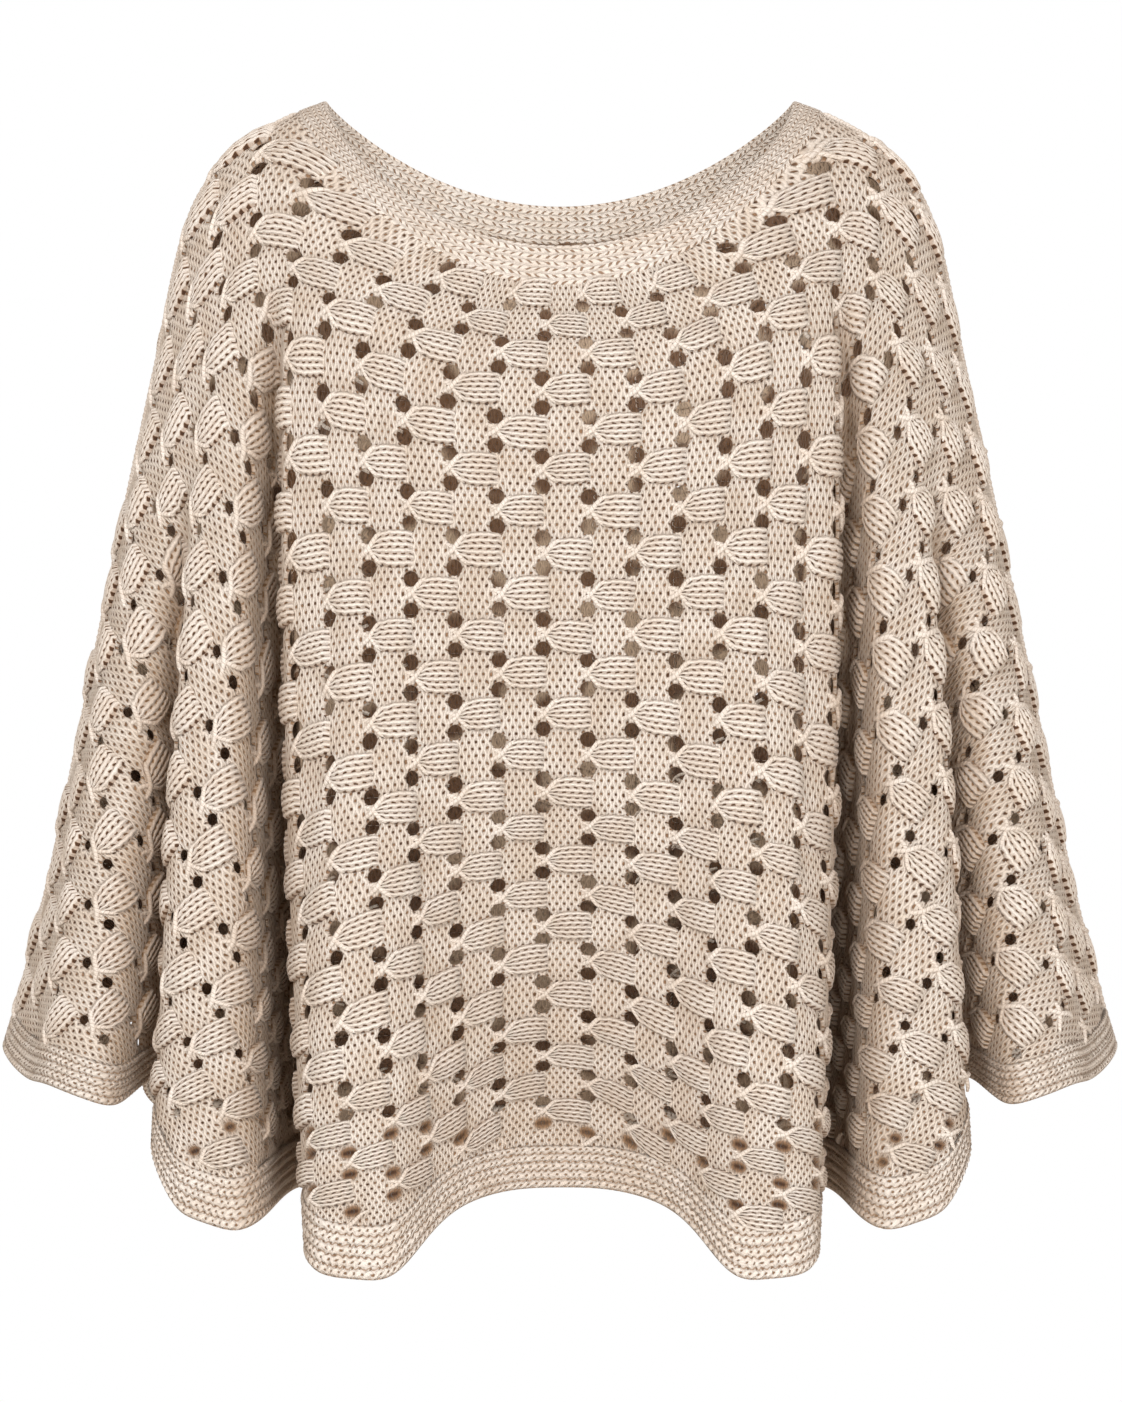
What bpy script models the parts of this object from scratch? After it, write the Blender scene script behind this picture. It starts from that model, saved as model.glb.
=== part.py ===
"""Openwork knitted poncho, standing hollow as if worn, front towards -Y.

The cloth is one tube, from the boat neck down to the hem. Its rings are read from the
section table, its folds from the fold table. A point on it has two coordinates:

    thread   the angle round the hem: 0 at the centre front, 90 degrees at the arm on +X,
             180 at the centre back; a thread runs from neck to hem along the folds
    level    0 at the neck edge, 1 at the hem edge

Right is +X, as seen from the front. The origin lies between the two shoulder tips of the
neck edge, where the wearer's shoulders carry the poncho.
"""
import math

import bmesh
import bpy
import numpy as np

MM = 0.001

WALL = 3.0 * MM              # knitted panels
BAND_WALL = 3.6 * MM         # firmer knit of the neck band
BORDER_WALL = 3.6 * MM       # garter stitch of the hem border
SEAM_GAP = 0.36 * MM         # between neighbouring pieces
LENGTH_PER_LEVEL = 350 * MM  # least way down the cloth for one whole level

BAND_END = 0.035             # level where the neck band meets the panels
BORDER_START = 0.955         # level where the hem border meets the panels

PANEL_LEVELS = (0.08, 0.13, 0.18, 0.25, 0.35, 0.47, 0.60, 0.73, 0.85)
BAND_MIDDLE = 0.018
PANEL_COLUMNS = 88           # across the front, and again across the back
BAND_COLUMNS = 60            # round the neck
BEND_SHARE = 0.50            # share of the columns spent on bends, the rest on length

# Rings of the tube in millimetres: half width and height at the arms, then depth and
# height at the centre front and centre back. A sag over 1 keeps the ring high near the arms.
SECTION_COLUMNS = ("level", "side_x", "side_z", "front_y", "front_z", "back_y", "back_z",
                   "front_sag", "back_sag")
SECTIONS = (
    (0.000, 142,    0, 104,  -97,  85,  -55, 1.40, 1.90),   # neck edge
    (0.035, 160,   -7, 113, -120,  94,  -77, 1.70, 1.80),   # neck band's lower edge
    (0.100, 196,  -28, 124, -160, 108, -118, 1.80, 1.70),   # top of the shoulder
    (0.180, 224,  -66, 131, -207, 120, -166, 1.70, 1.60),   # shoulder point
    (0.320, 247, -165, 140, -287, 131, -250, 1.60, 1.60),   # upper arm and chest
    (0.500, 270, -275, 152, -385, 145, -350, 1.50, 1.50),   # above the elbow
    (0.660, 291, -380, 164, -475, 158, -446, 1.50, 1.50),   # waist
    (0.820, 312, -480, 177, -562, 170, -546, 1.50, 1.50),   # forearm
    (0.955, 331, -553, 187, -629, 180, -628, 1.50, 1.50),   # border's upper edge
    (1.000, 338, -576, 190, -654, 183, -655, 1.50, 1.50),   # hem edge
)

# One row for each fold. Bearings are in degrees, at the fold's top and at the hem, and
# "top" is the level where it starts. Half width, rise (outward), and lift of the hem are
# in millimetres at the hem. A higher "square" gives a boxier fold with steeper sides.
FOLD_COLUMNS = ("name", "top_bearing", "hem_bearing", "top", "half_width", "rise",
                "square", "lift")
FOLDS = (
    ("front_hollow",        0,    0.0, 0.30, 62,  -34, 1.5,   8),
    ("front_lobe_right",   28,   20.3, 0.30, 38,   42, 2.0, -47),
    ("front_pleat_right",  51,   28.1, 0.13, 11, -125, 2.0,   4),
    ("front_ridge_right",  60,   36.8, 0.20, 31,   20, 2.2, -34),
    ("front_dip_right",    68,   47.6, 0.36, 10,  -68, 1.8,  24),
    ("front_flare_right",  80,   56.5, 0.36, 36,   22, 1.4,  14),
    ("front_lobe_left",   -28,  -19.7, 0.30, 39,   42, 2.0, -47),
    ("front_pleat_left",  -51,  -27.7, 0.13, 11, -125, 2.0,   4),
    ("front_ridge_left",  -60,  -36.4, 0.20, 31,   20, 2.2, -34),
    ("front_dip_left",    -68,  -47.3, 0.36, 10,  -68, 1.8,  24),
    ("front_flare_left",  -80,  -56.5, 0.36, 36,   22, 1.4,  14),
    ("back_hollow",       176,  176.0, 0.30, 45,  -30, 1.5,   6),
    ("back_lobe_right",   150,  160.0, 0.32, 38,   38, 2.0, -26),
    ("back_pleat_right",  134,  151.0, 0.20, 16, -105, 2.0,   4),
    ("back_ridge_right",  126,  142.0, 0.25, 34,   22, 2.0, -16),
    ("back_dip_right",    114,  128.0, 0.45, 16,  -50, 1.8,  24),
    ("back_lobe_left",   -148, -158.0, 0.32, 42,   34, 2.0, -24),
    ("back_pleat_left",  -132, -148.0, 0.18, 15, -112, 2.0,   4),
    ("back_ridge_left",  -123, -138.0, 0.25, 32,   24, 2.0, -10),
    ("back_dip_left",    -112, -124.0, 0.43, 15,  -54, 1.8,  44),
)
DRIFT_START = 0.13           # level down to which folds keep their top bearings
DRIFT_POWER = 0.9            # how soon they near their hem bearings
FOLD_TOP_WIDTH = 0.6         # width of a fold at its top, as a share of that at the hem
FOLD_TURN = 0.35             # how far a fold follows the ring's normal, not the Y axis
PLEAT_RISE = -40             # a fold this deep or deeper is a pleat with closing lips
LIP_CLOSING = 0.65           # how far its lips lean over it, as a share of its half width
FLOOR_OPENING = 0.85         # how far its floor widens, as a share of its half width
DRAPE_STEP = 1e-4            # step in radians and levels for the cloth's tangents

YARN_COLOUR = (0.72, 0.62, 0.50, 1.0)
YARN_ROUGHNESS = 0.9


def clear_scene():
    for scene_object in list(bpy.data.objects):
        bpy.data.objects.remove(scene_object, do_unlink=True)


def even_slopes(places, values):
    """Slopes of a curve through rows of values that never overshoots them."""
    width = np.diff(places)[:, None]
    rate = np.diff(values, axis=0) / width
    slopes = np.zeros_like(values)
    slopes[0] = rate[0]
    slopes[-1] = rate[-1]
    before, after = rate[:-1], rate[1:]
    same_way = before * after > 0
    near = 2 * width[1:] + width[:-1]
    far = width[1:] + 2 * width[:-1]
    safe_before = np.where(same_way, before, 1)
    safe_after = np.where(same_way, after, 1)
    mean = (near + far) / (near / safe_before + far / safe_after)
    slopes[1:-1] = np.where(same_way, mean, 0)
    return slopes


def cubic_through(places, values, slopes, at):
    """The curve through rows of values, read at an array of places."""
    row = np.clip(np.searchsorted(places, at) - 1, 0, len(places) - 2)
    width = places[row + 1] - places[row]
    t = ((at - places[row]) / width)[..., None]
    width = width[..., None]
    return ((1 + 2 * t) * (1 - t) ** 2 * values[row]
            + t * (1 - t) ** 2 * width * slopes[row]
            + t * t * (3 - 2 * t) * values[row + 1]
            + t * t * (t - 1) * width * slopes[row + 1])


SECTION_TABLE = np.array(SECTIONS, float)
SECTION_LEVELS = SECTION_TABLE[:, 0]
SECTION_VALUES = SECTION_TABLE[:, 1:]
SECTION_VALUES[:, :6] *= MM
SECTION_SLOPES = even_slopes(SECTION_LEVELS, SECTION_VALUES)

FOLD_ROWS = [dict(zip(FOLD_COLUMNS, row)) for row in FOLDS]
FIXED_BEARINGS = [(-180.0, -180.0), (-90.0, -90.0), (90.0, 90.0), (180.0, 180.0)]
DRIFT_TABLE = np.radians(sorted(
    [(fold["hem_bearing"], fold["top_bearing"]) for fold in FOLD_ROWS] + FIXED_BEARINGS))
DRIFT_FROM = DRIFT_TABLE[:, 0]
DRIFT_TO = DRIFT_TABLE[:, 1:]
DRIFT_SLOPES = even_slopes(DRIFT_FROM, DRIFT_TO)


def section_at(level):
    """Named sizes of the ring at a level."""
    ring = cubic_through(SECTION_LEVELS, SECTION_VALUES, SECTION_SLOPES, level)
    return {name: ring[..., k] for k, name in enumerate(SECTION_COLUMNS[1:])}


def bearing_of(thread, level):
    """The bearing of a thread of the cloth at a level. Threads are named by their hem bearing."""
    turns = 2 * math.pi * np.round(thread / (2 * math.pi))
    at_top = cubic_through(DRIFT_FROM, DRIFT_TO, DRIFT_SLOPES, thread - turns)[..., 0] + turns
    age = np.clip((level - DRIFT_START) / (1 - DRIFT_START), 0, 1)
    return at_top + (thread - at_top) * age ** DRIFT_POWER


def smooth_step(t):
    t = np.clip(t, 0, 1)
    return t * t * (3 - 2 * t)


def fold_shape(fold, bearing, level, half_width, depth):
    """One fold's outward rise, lift, and push along the ring."""
    age = np.clip((level - fold["top"]) / (1 - fold["top"]), 0, 1)
    centre = bearing_of(np.radians(np.full_like(level, fold["hem_bearing"])), level)
    metres_per_radian = np.hypot(half_width * np.cos(centre), depth * np.sin(centre))
    away = (bearing - centre + math.pi) % (2 * math.pi) - math.pi
    width = fold["half_width"] * MM * (FOLD_TOP_WIDTH + (1 - FOLD_TOP_WIDTH) * age)
    offset = away * metres_per_radian / width
    shape = 1 / (1 + np.abs(offset) ** (2 * fold["square"]))
    growth = smooth_step(age ** 0.8) ** 0.8
    rise = fold["rise"] * MM * growth * shape
    lift = fold["lift"] * MM * age ** 2 * shape
    push = np.zeros_like(rise)
    if fold["rise"] <= PLEAT_RISE:
        lips = (1 - shape) * np.exp(-offset ** 2 / 4)
        push = width * growth * offset * (FLOOR_OPENING * shape - LIP_CLOSING * lips)
    return rise, lift, push


def cloth_point(thread, level):
    """The middle of the cloth's thickness, as an array of XYZ in metres."""
    thread, level = np.broadcast_arrays(np.asarray(thread, float), np.asarray(level, float))
    bearing = bearing_of(thread, level)
    ring = section_at(level)
    sine, cosine = np.sin(bearing), np.cos(bearing)
    in_front = cosine >= 0
    half_width = ring["side_x"]
    depth = np.where(in_front, ring["front_y"], ring["back_y"])
    centre_z = np.where(in_front, ring["front_z"], ring["back_z"])
    sag = np.where(in_front, ring["front_sag"], ring["back_sag"])

    rise = np.zeros_like(half_width)
    lift = np.zeros_like(half_width)
    push = np.zeros_like(half_width)
    for fold in FOLD_ROWS:
        added = fold_shape(fold, bearing, level, half_width, depth)
        rise, lift, push = rise + added[0], lift + added[1], push + added[2]

    # Folds point mostly fore and aft, and turn to the ring's own normal at the arms.
    arm_share = np.abs(sine) ** 6
    normal = unit(np.stack([sine / half_width, -cosine / depth]))
    forward = unit(np.stack([sine / half_width * FOLD_TURN, -cosine / depth]))
    outward = unit(forward * (1 - arm_share) + normal * arm_share)

    x = half_width * sine + outward[0] * rise - outward[1] * push
    y = -depth * cosine + outward[1] * rise + outward[0] * push
    z = ring["side_z"] + (centre_z - ring["side_z"]) * np.abs(cosine) ** sag + lift
    return np.stack([x, y, z], axis=-1)


def unit(vectors):
    """Unit vectors, for an array whose first axis holds the parts."""
    length = np.sqrt((vectors ** 2).sum(axis=0))
    return vectors / np.where(length < 1e-12, 1, length)


def cloth_normal(thread, level):
    """Outward unit normal of the cloth."""
    level = np.clip(level, DRAPE_STEP, 1 - DRAPE_STEP)
    around = cloth_point(thread + DRAPE_STEP, level) - cloth_point(thread - DRAPE_STEP, level)
    down = cloth_point(thread, level + DRAPE_STEP) - cloth_point(thread, level - DRAPE_STEP)
    normal = np.cross(down, around)
    return normal / np.linalg.norm(normal, axis=-1, keepdims=True)


def crowded_threads(first, last, columns, level):
    """Threads for a piece's columns, closer together where the ring at a level bends."""
    fine = np.linspace(first, last, 4001)
    plan = cloth_point(fine, np.full_like(fine, level))
    step = np.diff(plan, axis=0)
    length = np.linalg.norm(step, axis=1)
    heading = np.unwrap(np.arctan2(step[:, 1], step[:, 0]))
    bend = np.abs(np.diff(heading, append=heading[-1]))
    measure = (1 - BEND_SHARE) * length / length.sum() + BEND_SHARE * bend / bend.sum()
    total = np.concatenate([[0], np.cumsum(measure)])
    return np.interp(np.linspace(0, total[-1], columns + 1), total, fine)


def trimmed(threads, levels):
    """A grid of threads whose two ends stop half a seam gap short of the arm lines."""
    grid = np.repeat(threads[None, :], len(levels), axis=0)
    for end, inward in ((0, 1), (-1, -1)):
        thread = grid[:, end]
        here = cloth_point(thread, levels)
        around = cloth_point(thread + inward * DRAPE_STEP, levels) - here
        down = unit((cloth_point(thread, levels - DRAPE_STEP) - here).T).T
        square_to_seam = np.linalg.norm(np.cross(around, down), axis=-1)
        grid[:, end] += inward * 0.5 * SEAM_GAP * DRAPE_STEP / square_to_seam
    return grid


def yarn_material(name):
    material = bpy.data.materials.new(name)
    material.use_nodes = True
    shader = material.node_tree.nodes["Principled BSDF"]
    shader.inputs["Base Color"].default_value = YARN_COLOUR
    shader.inputs["Roughness"].default_value = YARN_ROUGHNESS
    shader.inputs["Metallic"].default_value = 0.0
    return material


def close_rim(mesh, outer, inner, turned):
    """Triangles across a rim. Facing rims split alike, so that they stay apart all along."""
    for k in range(len(outer) - 1):
        for corners in ((inner[k], outer[k], outer[k + 1]), (inner[k], outer[k + 1], inner[k + 1])):
            mesh.faces.new(corners[::-1] if turned else corners)


def make_wall(name, threads, levels, thickness, closed):
    """A wall of cloth through a grid of threads (rows run round, columns run down)."""
    grid_levels = np.repeat(np.asarray(levels, float)[:, None], threads.shape[1], axis=1)
    middle = cloth_point(threads, grid_levels)
    normal = cloth_normal(threads, grid_levels)
    mesh = bmesh.new()
    sides = []
    for sign in (0.5, -0.5):
        points = middle + normal * thickness * sign
        side = [[mesh.verts.new(point) for point in row] for row in points]
        if closed:
            for row in side:
                row.append(row[0])
        sides.append(side)
    outer, inner = sides
    for upper in range(len(outer) - 1):
        lower = upper + 1
        for left in range(len(outer[0]) - 1):
            right = left + 1
            mesh.faces.new((outer[upper][left], outer[lower][left],
                            outer[lower][right], outer[upper][right]))
            mesh.faces.new((inner[upper][right], inner[lower][right],
                            inner[lower][left], inner[upper][left]))
    close_rim(mesh, outer[0], inner[0], turned=False)
    close_rim(mesh, outer[-1], inner[-1], turned=True)
    if not closed:
        for column, turned in ((0, True), (-1, False)):
            close_rim(mesh, [row[column] for row in outer], [row[column] for row in inner], turned)
    data = bpy.data.meshes.new(name)
    mesh.to_mesh(data)
    mesh.free()
    data.shade_smooth()
    piece = bpy.data.objects.new(name, data)
    bpy.context.scene.collection.objects.link(piece)
    data.materials.append(yarn_material(name))
    return piece


def make_panel(name, threads):
    """Front or back panel, from the neck band down to the hem border."""
    gap = SEAM_GAP / LENGTH_PER_LEVEL
    levels = (BAND_END + gap / 2, *PANEL_LEVELS, BORDER_START - gap / 2)
    return make_wall(name, trimmed(threads, np.array(levels)), levels, WALL, closed=False)


def make_border(name, threads):
    """Garter-stitch border along the hem of one panel."""
    gap = SEAM_GAP / LENGTH_PER_LEVEL
    levels = (BORDER_START + gap / 2, 1.0)
    return make_wall(name, trimmed(threads, np.array(levels)), levels, BORDER_WALL, closed=False)


def make_neck_band():
    """The band, a closed ring round the boat neck."""
    gap = SEAM_GAP / LENGTH_PER_LEVEL
    levels = (0.0, BAND_MIDDLE, BAND_END - gap / 2)
    ring = np.linspace(0, 2 * math.pi, BAND_COLUMNS, endpoint=False)
    threads = np.repeat(ring[None, :], len(levels), axis=0)
    return make_wall("neck_band", threads, levels, BAND_WALL, closed=True)


def main():
    clear_scene()
    quarter = math.pi / 2
    front = crowded_threads(-quarter, quarter, PANEL_COLUMNS, BORDER_START)
    back = crowded_threads(quarter, 3 * quarter, PANEL_COLUMNS, BORDER_START)
    make_neck_band()
    make_panel("front_panel", front)
    make_panel("back_panel", back)
    make_border("hem_border_front", front)
    make_border("hem_border_back", back)


main()
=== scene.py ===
"""Looks of the openwork knitted poncho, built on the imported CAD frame.

The cloth is one tube, read from the same section and fold tables as the CAD solids. A point
on it has a thread (the angle round the hem, 0 at the centre front) and a level (0 at the
neck edge, 1 at the hem edge). Each panel is laid flat in a knit map, which says where every
row and column of the stitch pattern runs, so that the knitting can be made in its own flat
sizes and carried back on to the drape.
"""
import math

import bpy
import numpy as np
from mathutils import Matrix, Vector
from mathutils.kdtree import KDTree

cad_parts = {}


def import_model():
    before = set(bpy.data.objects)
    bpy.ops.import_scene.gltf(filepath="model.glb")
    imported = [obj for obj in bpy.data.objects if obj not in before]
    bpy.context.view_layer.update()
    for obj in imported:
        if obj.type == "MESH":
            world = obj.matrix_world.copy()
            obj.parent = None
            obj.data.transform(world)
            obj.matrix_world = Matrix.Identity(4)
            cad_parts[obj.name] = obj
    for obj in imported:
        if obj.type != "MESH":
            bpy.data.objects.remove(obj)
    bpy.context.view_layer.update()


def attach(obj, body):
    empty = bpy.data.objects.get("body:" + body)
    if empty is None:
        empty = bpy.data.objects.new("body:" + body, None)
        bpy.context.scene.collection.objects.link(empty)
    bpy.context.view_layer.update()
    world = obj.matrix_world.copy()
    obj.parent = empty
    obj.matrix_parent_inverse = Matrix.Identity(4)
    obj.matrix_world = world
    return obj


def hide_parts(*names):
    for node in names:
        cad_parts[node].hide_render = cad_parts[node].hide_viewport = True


MM = 0.001
TURN = 2 * math.pi
QUARTER = math.pi / 2
TINY = 1e-12

# ------------------------------------------------------------------ the drape, as in the CAD

BAND_END = 0.035             # level where the neck band meets the panels
BORDER_START = 0.955         # level where the hem border meets the panels
BEND_SHARE = 0.50            # share of a grid's columns spent on bends, the rest on length

# Rings of the tube in millimetres: half width and height at the arms, then depth and
# height at the centre front and centre back. A sag over 1 keeps the ring high near the arms.
SECTION_COLUMNS = ("level", "side_x", "side_z", "front_y", "front_z", "back_y", "back_z",
                   "front_sag", "back_sag")
SECTIONS = (
    (0.000, 142,    0, 104,  -97,  85,  -55, 1.40, 1.90),   # neck edge
    (0.035, 160,   -7, 113, -120,  94,  -77, 1.70, 1.80),   # neck band's lower edge
    (0.100, 196,  -28, 124, -160, 108, -118, 1.80, 1.70),   # top of the shoulder
    (0.180, 224,  -66, 131, -207, 120, -166, 1.70, 1.60),   # shoulder point
    (0.320, 247, -165, 140, -287, 131, -250, 1.60, 1.60),   # upper arm and chest
    (0.500, 270, -275, 152, -385, 145, -350, 1.50, 1.50),   # above the elbow
    (0.660, 291, -380, 164, -475, 158, -446, 1.50, 1.50),   # waist
    (0.820, 312, -480, 177, -562, 170, -546, 1.50, 1.50),   # forearm
    (0.955, 331, -553, 187, -629, 180, -628, 1.50, 1.50),   # border's upper edge
    (1.000, 338, -576, 190, -654, 183, -655, 1.50, 1.50),   # hem edge
)

# One row for each fold. Bearings are in degrees, at the fold's top and at the hem, and
# "top" is the level where it starts. Half width, rise (outward), and lift of the hem are
# in millimetres at the hem. A higher "square" gives a boxier fold with steeper sides.
FOLD_COLUMNS = ("name", "top_bearing", "hem_bearing", "top", "half_width", "rise",
                "square", "lift")
FOLDS = (
    ("front_hollow",        0,    0.0, 0.30, 62,  -34, 1.5,   8),
    ("front_lobe_right",   28,   20.3, 0.30, 38,   42, 2.0, -47),
    ("front_pleat_right",  51,   28.1, 0.13, 11, -125, 2.0,   4),
    ("front_ridge_right",  60,   36.8, 0.20, 31,   20, 2.2, -34),
    ("front_dip_right",    68,   47.6, 0.36, 10,  -68, 1.8,  24),
    ("front_flare_right",  80,   56.5, 0.36, 36,   22, 1.4,  14),
    ("front_lobe_left",   -28,  -19.7, 0.30, 39,   42, 2.0, -47),
    ("front_pleat_left",  -51,  -27.7, 0.13, 11, -125, 2.0,   4),
    ("front_ridge_left",  -60,  -36.4, 0.20, 31,   20, 2.2, -34),
    ("front_dip_left",    -68,  -47.3, 0.36, 10,  -68, 1.8,  24),
    ("front_flare_left",  -80,  -56.5, 0.36, 36,   22, 1.4,  14),
    ("back_hollow",       176,  176.0, 0.30, 45,  -30, 1.5,   6),
    ("back_lobe_right",   150,  160.0, 0.32, 38,   38, 2.0, -26),
    ("back_pleat_right",  134,  151.0, 0.20, 16, -105, 2.0,   4),
    ("back_ridge_right",  126,  142.0, 0.25, 34,   22, 2.0, -16),
    ("back_dip_right",    114,  128.0, 0.45, 16,  -50, 1.8,  24),
    ("back_lobe_left",   -148, -158.0, 0.32, 42,   34, 2.0, -24),
    ("back_pleat_left",  -132, -148.0, 0.18, 15, -112, 2.0,   4),
    ("back_ridge_left",  -123, -138.0, 0.25, 32,   24, 2.0, -10),
    ("back_dip_left",    -112, -124.0, 0.43, 15,  -54, 1.8,  44),
)
DRIFT_START = 0.13           # level down to which folds keep their top bearings
DRIFT_POWER = 0.9            # how soon they near their hem bearings
FOLD_TOP_WIDTH = 0.6         # width of a fold at its top, as a share of that at the hem
FOLD_TURN = 0.35             # how far a fold follows the ring's normal, not the Y axis
PLEAT_RISE = -40             # a fold this deep or deeper is a pleat with closing lips
LIP_CLOSING = 0.65           # how far its lips lean over it, as a share of its half width
FLOOR_OPENING = 0.85         # how far its floor widens, as a share of its half width
LIP_FADE = 4                 # how far beside the pleat its lips reach, in half widths squared
GROWTH_POWER = 0.8           # how soon a fold grows to its full size
LIFT_POWER = 2               # how late it lifts or lowers the hem
ARM_POWER = 6                # how near the arms folds turn to the ring's own normal
RING_SAMPLES = 4001          # points on a ring where its columns are planned
DRAPE_STEP = 1e-4            # step in radians and levels for the cloth's tangents


def smooth_curve(places, values):
    """A curve through rows of values that never overshoots them, to be read at any places."""
    width = np.diff(places)[:, None]
    rate = np.diff(values, axis=0) / width
    before, after = rate[:-1], rate[1:]
    same_way = before * after > 0
    near, far = 2 * width[1:] + width[:-1], width[1:] + 2 * width[:-1]
    safe_before, safe_after = (np.where(same_way, side, 1) for side in (before, after))
    mean = (near + far) / (near / safe_before + far / safe_after)
    slopes = np.concatenate([rate[:1], np.where(same_way, mean, 0), rate[-1:]])

    def read(at):
        row = np.clip(np.searchsorted(places, at) - 1, 0, len(places) - 2)
        span = (places[row + 1] - places[row])[..., None]
        t = (at - places[row])[..., None] / span
        return ((1 + 2 * t) * (1 - t) ** 2 * values[row]
                + t * (1 - t) ** 2 * span * slopes[row]
                + t * t * (3 - 2 * t) * values[row + 1]
                + t * t * (t - 1) * span * slopes[row + 1])
    return read


SECTION_TABLE = np.array(SECTIONS, float)
SECTION_TABLE[:, 1:7] *= MM
SECTION_CURVE = smooth_curve(SECTION_TABLE[:, 0], SECTION_TABLE[:, 1:])

FOLD_ROWS = [dict(zip(FOLD_COLUMNS, row)) for row in FOLDS]
FIXED_BEARINGS = [(-180.0, -180.0), (-90.0, -90.0), (90.0, 90.0), (180.0, 180.0)]
DRIFT_TABLE = np.radians(sorted(
    [(fold["hem_bearing"], fold["top_bearing"]) for fold in FOLD_ROWS] + FIXED_BEARINGS))
DRIFT_CURVE = smooth_curve(DRIFT_TABLE[:, 0], DRIFT_TABLE[:, 1:])


def section_at(level):
    """Named sizes of the ring at a level."""
    return dict(zip(SECTION_COLUMNS[1:], np.moveaxis(SECTION_CURVE(level), -1, 0)))


def bearing_of(thread, level):
    """The bearing of a thread of the cloth at a level. Threads are named by their hem bearing."""
    turns = TURN * np.round(thread / TURN)
    at_top = DRIFT_CURVE(thread - turns)[..., 0] + turns
    age = np.clip((level - DRIFT_START) / (1 - DRIFT_START), 0, 1)
    return at_top + (thread - at_top) * age ** DRIFT_POWER


def smooth_step(t):
    t = np.clip(t, 0, 1)
    return t * t * (3 - 2 * t)


def unit(vectors):
    """Unit vectors, for an array whose last axis holds their parts."""
    length = np.linalg.norm(vectors, axis=-1, keepdims=True)
    return vectors / np.where(length < TINY, 1, length)


def run_length(points):
    """How far along a line each of its points lies."""
    steps = np.linalg.norm(np.diff(points, axis=0), axis=1)
    return np.concatenate([[0], np.cumsum(steps)])


def fold_shape(fold, bearing, level, half_width, depth):
    """One fold's outward rise, lift, and push along the ring."""
    age = np.clip((level - fold["top"]) / (1 - fold["top"]), 0, 1)
    centre = bearing_of(np.radians(np.full_like(level, fold["hem_bearing"])), level)
    metres_per_radian = np.hypot(half_width * np.cos(centre), depth * np.sin(centre))
    away = (bearing - centre + math.pi) % TURN - math.pi
    width = fold["half_width"] * MM * (FOLD_TOP_WIDTH + (1 - FOLD_TOP_WIDTH) * age)
    offset = away * metres_per_radian / width
    shape = 1 / (1 + np.abs(offset) ** (2 * fold["square"]))
    growth = smooth_step(age ** GROWTH_POWER) ** GROWTH_POWER
    rise = fold["rise"] * MM * growth * shape
    lift = fold["lift"] * MM * age ** LIFT_POWER * shape
    push = np.zeros_like(rise)
    if fold["rise"] <= PLEAT_RISE:
        lips = (1 - shape) * np.exp(-offset ** 2 / LIP_FADE)
        push = width * growth * offset * (FLOOR_OPENING * shape - LIP_CLOSING * lips)
    return rise, lift, push


def cloth_point(thread, level):
    """The middle of the cloth's thickness, as an array of XYZ in metres."""
    thread, level = np.broadcast_arrays(np.asarray(thread, float), np.asarray(level, float))
    bearing = bearing_of(thread, level)
    ring = section_at(level)
    sine, cosine = np.sin(bearing), np.cos(bearing)
    in_front = cosine >= 0
    half_width = ring["side_x"]
    depth, centre_z, sag = (np.where(in_front, ring["front_" + part], ring["back_" + part])
                            for part in ("y", "z", "sag"))
    rise, lift, push = sum(np.array(fold_shape(fold, bearing, level, half_width, depth))
                           for fold in FOLD_ROWS)

    # Folds point mostly fore and aft, and turn to the ring's own normal at the arms.
    arm_share = np.abs(sine)[..., None] ** ARM_POWER
    normal = unit(np.stack([sine / half_width, -cosine / depth], axis=-1))
    forward = unit(np.stack([sine / half_width * FOLD_TURN, -cosine / depth], axis=-1))
    outward = unit(forward * (1 - arm_share) + normal * arm_share)

    x = half_width * sine + outward[..., 0] * rise - outward[..., 1] * push
    y = -depth * cosine + outward[..., 1] * rise + outward[..., 0] * push
    z = ring["side_z"] + (centre_z - ring["side_z"]) * np.abs(cosine) ** sag + lift
    return np.stack([x, y, z], axis=-1)


def cloth_normal(thread, level):
    """Outward unit normal of the cloth."""
    level = np.clip(level, DRAPE_STEP, 1 - DRAPE_STEP)
    around = cloth_point(thread + DRAPE_STEP, level) - cloth_point(thread - DRAPE_STEP, level)
    down = cloth_point(thread, level + DRAPE_STEP) - cloth_point(thread, level - DRAPE_STEP)
    return unit(np.cross(down, around))


def on_cloth(thread, level, height):
    """Points at a height in metres outward from the middle of the cloth."""
    return cloth_point(thread, level) + cloth_normal(thread, level) * np.asarray(height)[..., None]


def crowded_threads(first, last, columns, level):
    """Threads for a grid's columns, closer together where the ring at a level bends."""
    fine = np.linspace(first, last, RING_SAMPLES)
    step = np.diff(cloth_point(fine, level), axis=0)
    length = np.linalg.norm(step, axis=1)
    heading = np.unwrap(np.arctan2(step[:, 1], step[:, 0]))
    bend = np.abs(np.diff(heading, append=heading[-1]))
    measure = (1 - BEND_SHARE) * length / length.sum() + BEND_SHARE * bend / bend.sum()
    total = np.concatenate([[0], np.cumsum(measure)])
    return np.interp(np.linspace(0, total[-1], columns + 1), total, fine)


# ------------------------------------------------------------------ the knit map of a panel

MAP_COLUMNS = 200            # squares of the map's grid across a panel
MAP_ROWS = 52                # and from the neck band down to the hem border
EASING_ROUNDS = 30           # rounds that let the flat panel settle
PIN_STIFFNESS = 1e3          # holds the top of the middle column in place

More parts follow.
